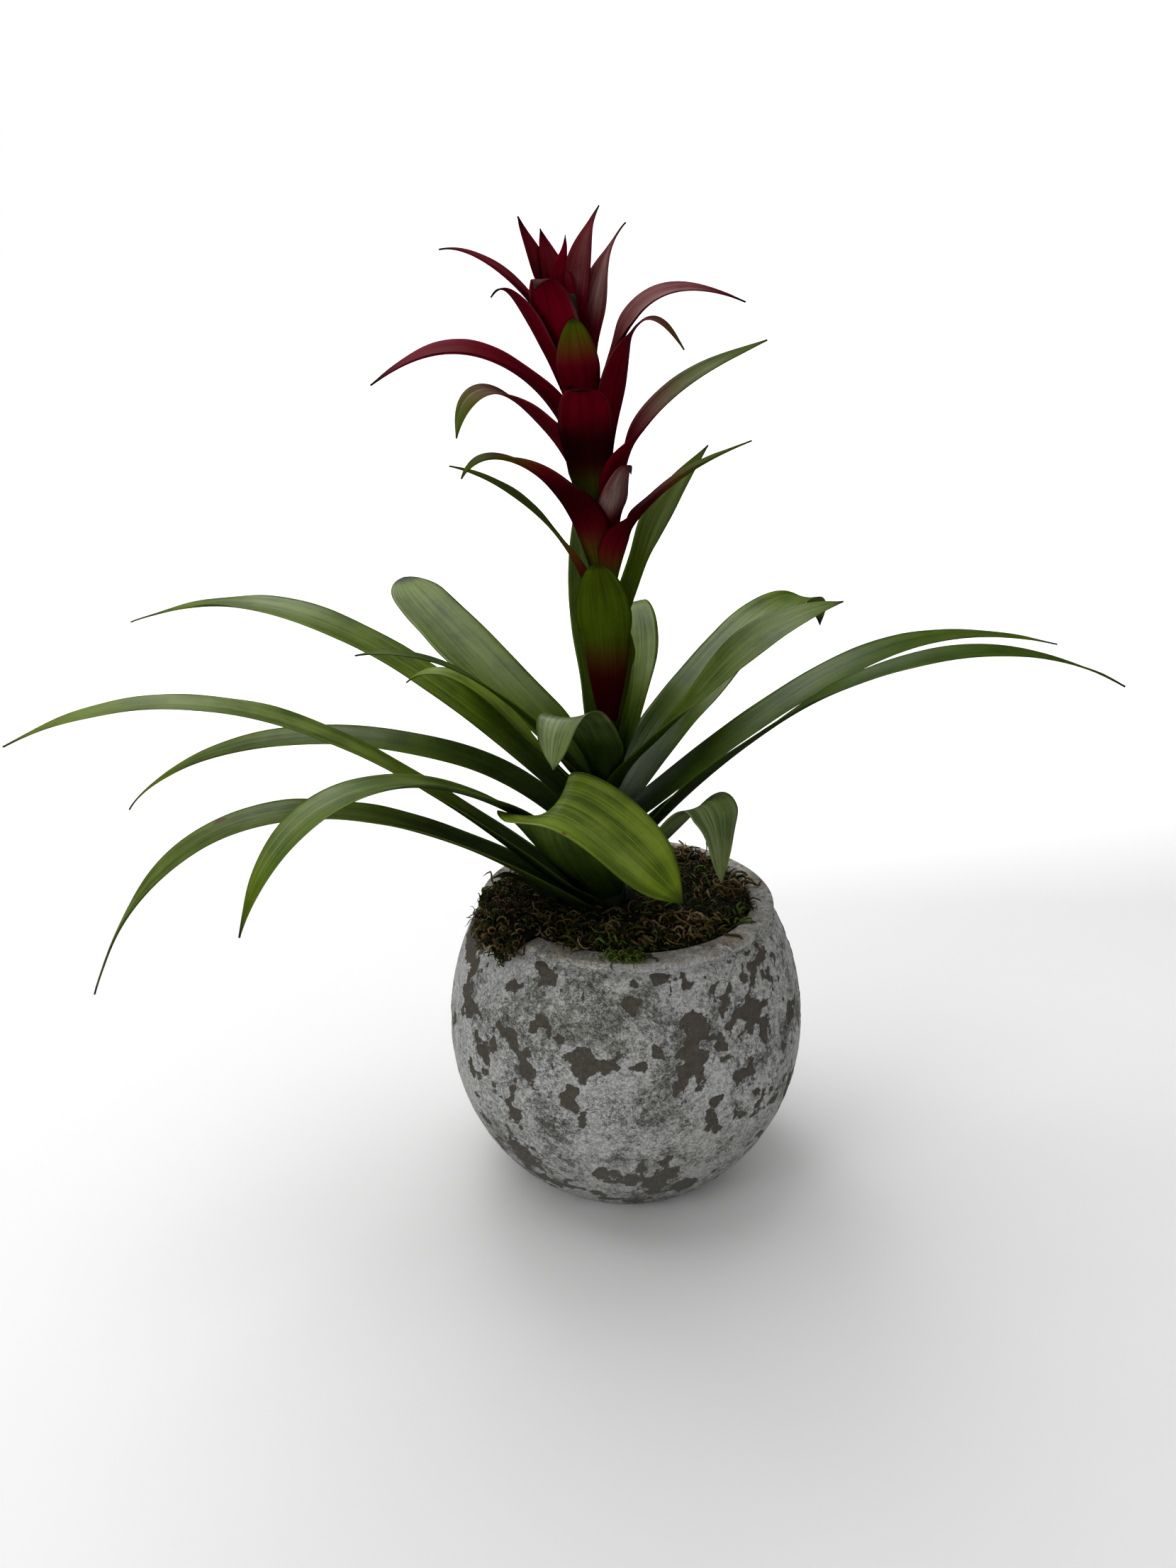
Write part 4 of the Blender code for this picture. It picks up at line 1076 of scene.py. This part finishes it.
# Pale edge of a flake: partly the broken wash, partly painted highlight
FLAKE_RIM_HIGHLIGHT = (0.520, 0.520, 0.500, 1.0)
RUBBED = (0.270, 0.225, 0.165, 1.0)
# Heights in metres between which the rubbed lip and the painted shade of the lower
# part begin
RUBBED_FROM = (0.1432, 0.1455)
SHADE_BELOW = (0.085, 0.0)
POT_BUMP = 0.0007


def pot_finish():
    """Wash by three noises, from pale through grey smudges to dark worn places, all
    stippled with fine dark specks; bare body where the flake field is high, with a
    pale broken edge that is partly painted highlight; a rubbed tone near the lip;
    painted shade greying it towards the foot."""
    made, tree, shader = new_material("pot_finish", Roughness=0.9, Specular_IOR_Level=0.25)
    place = place_on_plant(tree)
    ragged = times(minus(noise(place, 210.0, 8.0, 0.78), 0.5), 0.42)
    flake = plus(stored(tree, "flake"), ragged)
    bare = between(flake, FLAKE_EDGE - 0.006, FLAKE_EDGE + 0.006)
    # The wash: smudged, creamy in places, worn along curling lines
    smears = plus(noise(place, 34.0, 8.0, 0.7), times(noise(place, 260.0, 8.0, 0.85), 0.8))
    smudge = between(smears, 0.87, 1.01)
    colour = blend(smudge, WASH_PALE, WASH_GREY)
    cream = between(noise(place, 16.0, 3.0), 0.5, 0.75)
    colour = blend(times(cream, 0.35), colour, WASH_CREAM)
    curls = sums("ABSOLUTE", minus(noise(place, 120.0, 6.0, 0.75, 1.6), 0.5))
    worn = times(between(curls, 0.022, 0.008), between(noise(place, 46.0, 5.0, 0.65), 0.47, 0.56))
    colour = blend(times(worn, 0.85), colour, WASH_DARK)
    # Fine grain, denser in the smudges, and coarser specks
    grain = between(noise(place, 640.0, 4.0, 0.8, 0.8), 0.49, 0.57)
    density = plus(times(smudge, 0.4), 0.36)
    colour = blend(times(grain, density), colour, SPECK_DARK)
    specks = between(noise(place, 430.0, 5.0, 0.85), 0.60, 0.65)
    colour = blend(times(specks, 0.8), colour, SPECK_DARK)
    # The bare body and the pale edge of each flake, partly broken wash and partly
    # painted highlight on its raised rim
    body = blend(between(noise(place, 300.0, 4.0, 0.7), 0.3, 0.7), BODY_TAUPE, BODY_LIGHT)
    colour = blend(bare, colour, body)
    rim = between(flake, FLAKE_EDGE - 0.04, FLAKE_EDGE - 0.012)
    edge = times(rim, minus(1.0, bare))
    colour = blend(times(edge, times(noise(place, 240.0, 5.0, 0.8), 0.8)), colour, FLAKE_RIM_HIGHLIGHT)
    # Painted shade greying it towards the foot; rubbed at the lip
    high = node(tree, "ShaderNodeSeparateXYZ", {"Vector": place}).outputs[2]
    colour = blend(times(between(high, *SHADE_BELOW), 0.35), colour, WASH_GREY)
    lip = times(between(high, *RUBBED_FROM), between(noise(place, 110.0, 6.0, 0.8), 0.36, 0.6))
    colour = blend(times(lip, 0.75), colour, RUBBED)
    height = minus(times(noise(place, 420.0, 6.0, 0.75), 0.8),
                   plus(times(grain, 0.25), times(bare, 0.8)))
    wire(shader, Base_Color=colour, Normal=bumps(height, 0.9, POT_BUMP))
    return made


def pot_piece(material, steps=380):
    """The profile turned about Z, then moved out by the relief on its outside."""
    angle = np.linspace(0.0, 2.0 * math.pi, steps, endpoint=False)
    grid = turned(profile[:, :1], angle, profile[:, 1:])
    move, flake = pot_relief(grid)
    outward = unit(grid * [1.0, 1.0, 0.0])
    outside = np.arange(len(profile)) < len(profile) - INSIDE_POINTS
    seen = smooth(grid[..., 2], *RELIEF_IN) * outside[:, None]
    neck = POT_HEIGHT - LIP_HEIGHT
    lip = 1.0 - LIP_CALM * smooth(grid[..., 2], neck - 3.0, neck)
    grid = grid + outward * (move * seen * lip)[..., None]
    piece = tube_piece("pot_fine", grid, material, {"flake": flake})
    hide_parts("pot")
    return piece


pot = pot_piece(pot_finish())
print("pot faces:", len(pot.data.polygons))

# %% [markdown]
# ## Soil
# Almost all of the potting mix is under the moss. Its solid stays as it is and
# only gets a crumbly dark finish.

# %% Soil finish
CRUMB_DARK = (0.010, 0.008, 0.006, 1.0)
CRUMB_BROWN = (0.060, 0.042, 0.028, 1.0)
soil_material, tree, shader = new_material("soil_finish", Roughness=0.95)
crumbs = noise(place_on_plant(tree), 260.0, 6.0)
wire(shader, Base_Color=blend(between(crumbs, 0.35, 0.7), CRUMB_DARK, CRUMB_BROWN),
     Normal=bumps(crumbs, 0.8, 0.002))
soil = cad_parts["soil"]
soil.data.materials.clear()
soil.data.materials.append(soil_material)
print("soil finished")

# %% [markdown]
# ## Moss: the bed
# Moss is a tangle with no clear surface. A near-black bed paints the shade deep
# inside it and stops the light: a ring with a bumpy top about the leaf bases, a
# lump that hangs over the rim at the left, and a low heap beside it. The threads
# that follow make what the eye sees.

# %% Moss bed
MOSS_TOP = 146.0
MOSS_HOLE = 22.0
# Towards the front right the moss comes closer to the stem by this much
CLOSER_AZIMUTH = 325.0
CLOSER = 4.8
# The bed's lumps: height, width, seed and octaves of each layer
BED_LUMPS = ((3.6, 11.0, 51, 2), (1.6, 4.0, 57, 2))
BED_SINK = 2.6
MOUND_HEIGHT = 3.4
MOUND_EDGE = (17.0, 34.0)
CLUMP_DROP = 8.0
HEAP_REACH = 9.5
RIM_ROWS = 64
SIDE_PARTS = 4
# How far the rim pieces' field pushes, and the width of its lumps
RIM_PUSH, RIM_LUMPS = 2.4, 4.5
MOUTH_GAP = 0.6
RIM_CLEAR = POT_HEIGHT + 0.6
LIP_OUT = float(pot_radius(POT_HEIGHT - LIP_HEIGHT)) + LIP_OVERHANG + 0.7
PLANT = np.array([axis_x(MOSS_TOP), AXIS_Y])


def closer_share(angle):
    """1 towards the front right, falling to 0 at its sides."""
    return smooth(np.cos(angle - math.radians(CLOSER_AZIMUTH)), -0.15, 0.5)


def hole_radius(angle):
    """The bed's inner edge about the plant: the plain hole on the left, where the
    low leaves spread, and closer to the stem at the front right."""
    return MOSS_HOLE - CLOSER * closer_share(angle)


def moss_height(flat):
    """The bed's height at points (x, y): a random field with lumps of 11 mm, with a
    finer one on it, and a low mound against the stem at the front right."""
    points = np.concatenate([flat, np.zeros(flat.shape[:-1] + (1,))], axis=-1)
    away = flat - PLANT
    mound = 1.0 - smooth(np.linalg.norm(away, axis=-1), *MOUND_EDGE)
    mound = mound * closer_share(np.arctan2(away[..., 1], away[..., 0]))
    height = MOSS_TOP - BED_SINK
    for size, *lump in BED_LUMPS:
        height = height + size * field(points, *lump)
    return height + MOUND_HEIGHT * mound


def bed_place(angle, share):
    """Points (x, y) of the bed: share 0 at its inner edge and 1 at the pot's mouth."""
    rays = np.stack([np.cos(angle), np.sin(angle)], axis=-1)
    inner = PLANT + rays * hole_radius(angle)[..., None]
    return inner * (1.0 - share) + rays * (MOUTH_RADIUS - 0.7) * share


def moss_bed(material, steps=180):
    """Rings from the hole's edge to the pot's mouth at the field's height, closed
    by two rings underneath."""
    angle = np.linspace(0.0, 2.0 * math.pi, steps, endpoint=False)
    flat = bed_place(angle, np.linspace(0.0, 1.0, 46)[:, None, None])
    top = np.concatenate([flat, moss_height(flat)[..., None]], axis=-1)
    low = np.concatenate([flat[[-1, 0]], np.full((2, steps, 1), SOIL_TOP + GAP)], axis=-1)
    grid = np.concatenate([top, low])
    faces = grid_faces(len(grid), steps, True, False, False, wrap_rows=True)
    return mesh_piece("moss_bed", grid.reshape(-1, 3), faces, material)


def outlines(share, rows):
    """One outline for each share from rows of radius and height, each a number or
    an array with a value for each share."""
    pairs = [np.stack(np.broadcast_arrays(*row, share)[:2], axis=-1) for row in rows]
    return np.stack(pairs, axis=-2)


def clump_outline(share):
    """The hanging lump's outline (radius, height): up from inside the mouth, over
    the lip and down, for shares of the full drop."""
    down, top = CLUMP_DROP * share, 0.4 + 0.6 * share
    return outlines(share, (
        (50.0, MOSS_TOP - 3.0), (MOUTH_RADIUS - 1.0, MOSS_TOP - 5.0),
        (MOUTH_RADIUS - MOUTH_GAP, RIM_CLEAR), (LIP_OUT, RIM_CLEAR),
        (LIP_OUT + 0.3, RIM_CLEAR - 0.5 * down), (LIP_OUT + 1.3 * share + 0.2, RIM_CLEAR - down),
        (LIP_OUT + 2.2 * share + 0.6, RIM_CLEAR - 1.2 * down),
        (LIP_OUT + 3.4 * share + 0.8, RIM_CLEAR - 0.8 * down),
        (LIP_OUT + 3.4 * share + 0.8, RIM_CLEAR - 0.2 * down),
        (LIP_OUT + 1.6 * share + 0.4, RIM_CLEAR + 2.6 * top), (67.0, RIM_CLEAR + 5.2 * top),
        (58.0, RIM_CLEAR + 4.6 * top), (50.0, RIM_CLEAR + 1.0)))


def heap_outline(share):
    """The outline of the heap that lies on the rim beside the lump, for shares of
    its full reach over the lip."""
    out = MOUTH_RADIUS - MOUTH_GAP + HEAP_REACH * share
    return outlines(share, (
        (52.0, MOSS_TOP - 4.0), (MOUTH_RADIUS - 1.0, MOSS_TOP - 5.0),
        (MOUTH_RADIUS - MOUTH_GAP, RIM_CLEAR), (out, RIM_CLEAR), (out + 0.3, RIM_CLEAR + 0.8),
        (out - 2.8 * share, RIM_CLEAR + 1.2 + 2.5 * share),
        (58.0, RIM_CLEAR + 2.0 + 2.0 * share), (50.0, RIM_CLEAR + 1.0)))


# Rim pieces: outline, the least share and power of their hump, first and last azimuth
LUMP = (clump_outline, 0.12, 0.6, 197.0, 228.0)
HEAP = (heap_outline, 0.1, 0.7, 176.0, 205.0)


def rim_form(form, t):
    """A rim piece at shares t of its way: its outlines, how full each is, which is a
    rounded hump from the least share up to 1 and back, and their azimuths."""
    outline_of, least, power, start, end = form
    share = least + (1.0 - least) * np.sin(math.pi * t) ** power
    return outline_of(share), share, np.radians(start + (end - start) * t)


def rim_moss(name, material, form, first, last):
    """A rim piece swept along its way. Each side of its outline is split in parts,
    and the points between two of its corners are pushed out by a random field."""
    outline, share, azimuth = rim_form(form, np.linspace(0.0, 1.0, RIM_ROWS))
    count = outline.shape[1]
    place = np.arange(SIDE_PARTS * count) / SIDE_PARTS
    low = place.astype(int)
    part = (place - low)[:, None]
    outline = outline[:, low] * (1 - part) + outline[:, (low + 1) % count] * part
    grid = turned(outline[..., 0], azimuth[:, None], outline[..., 1])
    free = smooth(place, first - 0.5, first + 0.3) * (1 - smooth(place, last, last + 0.8))
    outward = unit(grid * [1.0, 1.0, 0.0]) + [0.0, 0.0, 1.0]
    push = RIM_PUSH * (field(grid, RIM_LUMPS, 77, 2) - 0.5)
    grid = grid + outward * (push * free)[..., None] * share[:, None, None]
    return tube_piece(name, capped(grid), material)


MOSS_SHADE = (0.0035, 0.0035, 0.0016, 1.0)
# near black, olive, brown, rust, tan, green, fresh green
MOSS_TONES = ((0.0, (0.006, 0.007, 0.002, 1.0)), (0.3, (0.040, 0.046, 0.008, 1.0)),
              (0.5, (0.085, 0.056, 0.018, 1.0)), (0.68, (0.180, 0.110, 0.046, 1.0)),
              (0.8, (0.340, 0.250, 0.140, 1.0)), (0.88, (0.060, 0.105, 0.010, 1.0)),
              (1.0, (0.120, 0.185, 0.028, 1.0)))


def moss_finish():
    """Each thread's own tone by the number on its points, with shade mixed in by
    noise. The bed, lump and heap hold no such number, so they stay near black, as
    painted shade deep in the tangle."""
    made, tree, shader = new_material("moss_finish", Roughness=0.9, Specular_IOR_Level=0.15)
    tones = node(tree, "ShaderNodeValToRGB", {"Fac": stored(tree, "tone")})
    ramp = tones.color_ramp
    ramp.elements[0].position, ramp.elements[0].color = MOSS_TONES[0]
    ramp.elements[1].position, ramp.elements[1].color = MOSS_TONES[-1]
    for position, colour in MOSS_TONES[1:-1]:
        ramp.elements.new(position).color = colour
    lit = between(noise(place_on_plant(tree), 380.0, 3.0), 0.2, 0.6)
    wire(shader, Base_Color=blend(lit, MOSS_SHADE, tones.outputs[0]))
    return made


moss_material = moss_finish()
# The bed, lump and heap stay near black: painted shade deep in the moss
bed = moss_bed(moss_material)
lump = rim_moss("moss_lump", moss_material, LUMP, 6.5, 11.5)
heap = rim_moss("moss_heap", moss_material, HEAP, 4.5, 6.5)
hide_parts("moss")
for piece in (bed, lump, heap):
    print(piece.name, "faces:", len(piece.data.polygons))

# %% [markdown]
# ## Moss: the threads
# Each thread is a thin curly tube. Hundreds are worked out at once as one array:
# where each starts, which way it leans, how it coils, how thick and what tone it
# is. They are merged into one mesh, because a thousand objects would be slow.

# %% Moss threads
THREAD_POINTS = 12
THREAD_SIDES = 4
# How thick a thread is at its first and last two points
THREAD_ENDS = (0.5, 0.7, 0.15)
FULL_TURN = 6.28
# Directions that few threads take: crossing a thread with one of them gives what
# stands square to it
TUBE_GUIDE = np.array([0.31, 0.17, 0.93])
COIL_GUIDE = np.array([0.2, 0.1, 0.97])
# The least and most coils of a thread where its set doesn't say
PLAIN_TURNS = (0.5, 1.9)
# Tones come in patches: how much a random field shifts them, and its lumps' width
PATCH_SHIFT, PATCH_WIDTH = 0.6, 9.0


def thread_tubes(paths, radii):
    """Four-sided tubes along many paths at once: each ring stands square to its
    path; both ends are squeezed nearly to points."""
    along = unit(np.gradient(paths, axis=1))
    a = unit(np.cross(along, TUBE_GUIDE))
    b = np.cross(along, a)
    angle = np.arange(THREAD_SIDES) * 2.0 * math.pi / THREAD_SIDES
    taper = np.ones(THREAD_POINTS)
    taper[[0, -2, -1]] = THREAD_ENDS
    ring = a[:, :, None] * np.cos(angle)[:, None] + b[:, :, None] * np.sin(angle)[:, None]
    return paths[:, :, None] + ring * (radii[:, None] * taper)[:, :, None, None]


def thread_faces(count):
    """The faces of one tube, with both ends closed, repeated for every thread. A
    straight trial thread tells which way round the end faces go."""
    one = grid_faces(THREAD_POINTS, THREAD_SIDES, True, False, False)
    last = (THREAD_POINTS - 1) * THREAD_SIDES
    caps = np.array([[3, 2, 1, 0], [last, last + 1, last + 2, last + 3]])
    straight = np.linspace(0.0, 9.0, THREAD_POINTS)[None, :, None] * np.ones(3)
    if volume_sign(thread_tubes(straight, np.ones(1)).reshape(-1, 3), one) < 0:
        caps = caps[:, ::-1]
    shift = np.arange(count)[:, None, None] * THREAD_POINTS * THREAD_SIDES
    return (np.concatenate([one, caps])[None] + shift).reshape(-1, 4)


def curly_paths(start, lean, length, coil, turns, phase, droop):
    """Paths = start + lean t + a coil whose radius grows along the thread + droop
    t t downwards, with t from 0 to 1."""
    t = np.linspace(0.0, 1.0, THREAD_POINTS)[None, :, None]
    a = unit(np.cross(lean, COIL_GUIDE))
    b = np.cross(lean, a)
    swing = phase[:, None, None] + turns[:, None, None] * 2.0 * math.pi * t
    offset = a[:, None] * (np.cos(swing) - np.cos(phase)[:, None, None])
    offset = offset + b[:, None] * (np.sin(swing) - np.sin(phase)[:, None, None])
    straight = start[:, None] + lean[:, None] * length[:, None, None] * t
    path = straight + offset * coil[:, None, None]
    return path - np.array([0.0, 0.0, 1.0]) * (droop[:, None, None] * t ** 2)


def keep_off_pot(paths):
    """Points pushed clear of the pot's lip: up where they cross its top, and out or
    in beside it."""
    r, z = np.linalg.norm(paths[..., :2], axis=-1), paths[..., 2]
    over = (r > MOUTH_RADIUS - MOUTH_GAP) & (r < LIP_OUT) & (z > MOSS_TOP - 4.0)
    z = np.where(over, np.maximum(z, RIM_CLEAR), z)
    inside = np.minimum(r, MOUTH_RADIUS - 1.0)
    outside = np.maximum(r, pot_radius(np.clip(z, 1.0, POT_HEIGHT - 0.5)) + 1.0)
    limit = np.where(r < (MOUTH_RADIUS + LIP_OUT) / 2, inside, outside)
    scale = np.where(z < RIM_CLEAR - 0.2, limit / np.maximum(r, 1e-6), 1.0)
    return np.concatenate([paths[..., :2] * scale[..., None], z[..., None]], axis=-1)


def bed_threads(random, count):
    """Threads over the bed, from just inside its inner edge: they lean mostly level,
    with a little lift."""
    angle = random.uniform(0.0, 2.0 * math.pi, count)
    share = np.sqrt(random.uniform(0.0, 0.97, count))[:, None]
    flat = bed_place(angle, share)
    start = np.concatenate([flat, (moss_height(flat) - 0.5)[:, None]], axis=-1)
    way = random.uniform(0.0, 2.0 * math.pi, count)
    lean = unit(np.stack([np.cos(way), np.sin(way), random.uniform(0.0, 0.6, count)], axis=-1))
    return start, lean


def rim_threads(random, count, form, first, last):
    """Threads that stick out of a rim piece between two points of its outline."""
    outline, _, azimuth = rim_form(form, random.uniform(0.03, 0.97, count))
    place = random.uniform(first, last, count)
    low = np.floor(place).astype(int)
    part = (place - low)[:, None]
    rows = np.arange(count)
    spot = outline[rows, low] * (1 - part) + outline[rows, low + 1] * part
    out = np.stack([np.cos(azimuth), np.sin(azimuth), np.full(count, 0.35)], axis=-1)
    return turned(spot[:, 0], azimuth, spot[:, 1]), unit(out + random.normal(0.0, 0.9, (count, 3)))


def tuft_threads(random, count, place, spread, lean):
    """Threads that grow from a small patch about a place and lean one way."""
    start = np.array(place) + random.normal(0.0, 1.0, (count, 3)) * spread
    return start, unit(np.array(lean) + random.normal(0.0, 0.6, (count, 3)))


def threads(name, seed, placed, numbers, length, coil, radius, tones, droop, turns=PLAIN_TURNS):
    """One mesh of threads that a function places by its own numbers. Each quantity
    is drawn between two limits, and the tone from bands with their shares."""
    random = np.random.default_rng(seed)
    start, lean = placed(random, *numbers)
    count = len(start)

    def draw(pair):
        return random.uniform(pair[0], pair[1], count)
    paths = curly_paths(start, lean, draw(length), draw(coil), draw(turns),
                        draw((0.0, FULL_TURN)), draw(droop))
    tubes = thread_tubes(keep_off_pot(paths), draw(radius))
    patch = PATCH_SHIFT * (field(start, PATCH_WIDTH, 91, 2) - 0.5) + draw((0.0, 1.0))
    bands = np.array(tones)
    band = np.searchsorted(np.cumsum(bands[:, 2]), np.clip(patch, 0.0, 0.999))
    low, high = bands[band, 0], bands[band, 1]
    tone = low + (high - low) * draw((0.0, 1.0))
    return mesh_piece(name, tubes.reshape(-1, 3), thread_faces(count), moss_material,
                      {"tone": np.repeat(tone, THREAD_POINTS * THREAD_SIDES)})


# Bands of tone: from, to, share of the threads
BED_TONES = ((0.05, 0.34, 0.42), (0.86, 1.0, 0.16), (0.42, 0.62, 0.26), (0.62, 0.80, 0.16))
RIM_TONES = ((0.05, 0.34, 0.50), (0.86, 0.95, 0.06), (0.42, 0.60, 0.32), (0.60, 0.78, 0.12))
FRESH_TONES = ((0.3, 0.4, 0.2), (0.86, 1.0, 0.8))
DRY_TONES = ((0.62, 0.80, 1.0),)
FRINGE = ((2.0, 6.0), (0.5, 1.9), (0.22, 0.55), RIM_TONES)
# name: seed, how the threads are placed and by which numbers, the limits of length,
# coil and radius, the tones, the limits of droop and, where they differ, of turns
THREAD_SETS = {
    "moss_tangle": (11, bed_threads, (760,), (7.0, 17.0), (1.0, 3.0), (0.30, 0.72),
                    BED_TONES, (0.5, 4.0), (0.6, 2.2)),
    "moss_fuzz": (15, bed_threads, (1700,), (2.0, 6.0), (0.4, 1.3), (0.18, 0.42),
                  BED_TONES, (0.2, 1.5)),
    "moss_fringe": (12, rim_threads, (330, LUMP, 6.0, 11.6), *FRINGE, (0.5, 3.0)),
    "moss_heap_fringe": (13, rim_threads, (230, HEAP, 4.0, 6.8), *FRINGE, (0.2, 2.0)),
    "moss_tuft": (14, tuft_threads, (130, (-1.5, -66.0, 147.6), (4.5, 3.0, 0.5), (0.0, -1.0, 0.1)),
                  (2.0, 5.5), (0.4, 1.3), (0.22, 0.5), FRESH_TONES, (0.8, 3.0)),
    "moss_stray": (16, tuft_threads,
                   (5, (-66.0, -36.0, 149.0), (4.0, 4.0, 1.0), (-0.8, -0.5, 0.6)),
                   (7.0, 13.0), (1.0, 2.0), (0.2, 0.3), DRY_TONES, (0.5, 4.0)),
    "moss_tendril": (17, tuft_threads, (9, (32.0, 46.0, 147.0), (5.0, 2.0, 0.5), (0.5, 0.2, 1.0)),
                     (8.0, 16.0), (1.5, 3.2), (0.3, 0.55), DRY_TONES, (0.0, 1.0), (1.2, 2.4)),
}
tangles = [threads(name, *row) for name, row in THREAD_SETS.items()]
print("threads:", sum(len(piece.data.polygons) for piece in tangles) // (4 * THREAD_POINTS - 2))

# %% [markdown]
# ## Floor
# The floor is a wide pale sweep that curves up behind, far larger than the plant.

# %% Floor
FLOOR_COLOUR = (0.9, 0.9, 0.9, 1.0)
SWEEP_BEHIND = 1500.0
SWEEP_CURVE = 1500.0
SWEEP_FRONT = -3000.0
SWEEP_HALF_WIDTH = 4500.0
WALL_TOP = 4000.0


def sweep():
    """A profile (distance behind, height) carried sideways: flat, then a quarter
    circle up to a wall."""
    turn = np.linspace(0.0, math.pi / 2, 24)
    curve = SWEEP_BEHIND + SWEEP_CURVE * np.sin(turn)
    y = np.concatenate([[SWEEP_FRONT, SWEEP_BEHIND], curve, [SWEEP_BEHIND + SWEEP_CURVE]])
    z = np.concatenate([[0.0, 0.0], SWEEP_CURVE - SWEEP_CURVE * np.cos(turn), [WALL_TOP]])
    x = np.linspace(-SWEEP_HALF_WIDTH, SWEEP_HALF_WIDTH, 9)
    grid = np.stack(np.broadcast_arrays(x[None, :], y[:, None], z[:, None]), axis=-1)
    mesh = bpy.data.meshes.new("floor")
    faces = grid_faces(len(y), len(x), False, False, False)
    mesh.from_pydata((grid.reshape(-1, 3) * MM).tolist(), [], faces.tolist())
    mesh.shade_smooth()
    mesh.materials.append(new_material("floor_finish", Roughness=0.9, Base_Color=FLOOR_COLOUR)[0])
    floor = bpy.data.objects.new("floor", mesh)
    bpy.context.scene.collection.objects.link(floor)
    floor.visible_glossy = False
    return floor


floor = sweep()
print("floor faces:", len(floor.data.polygons))
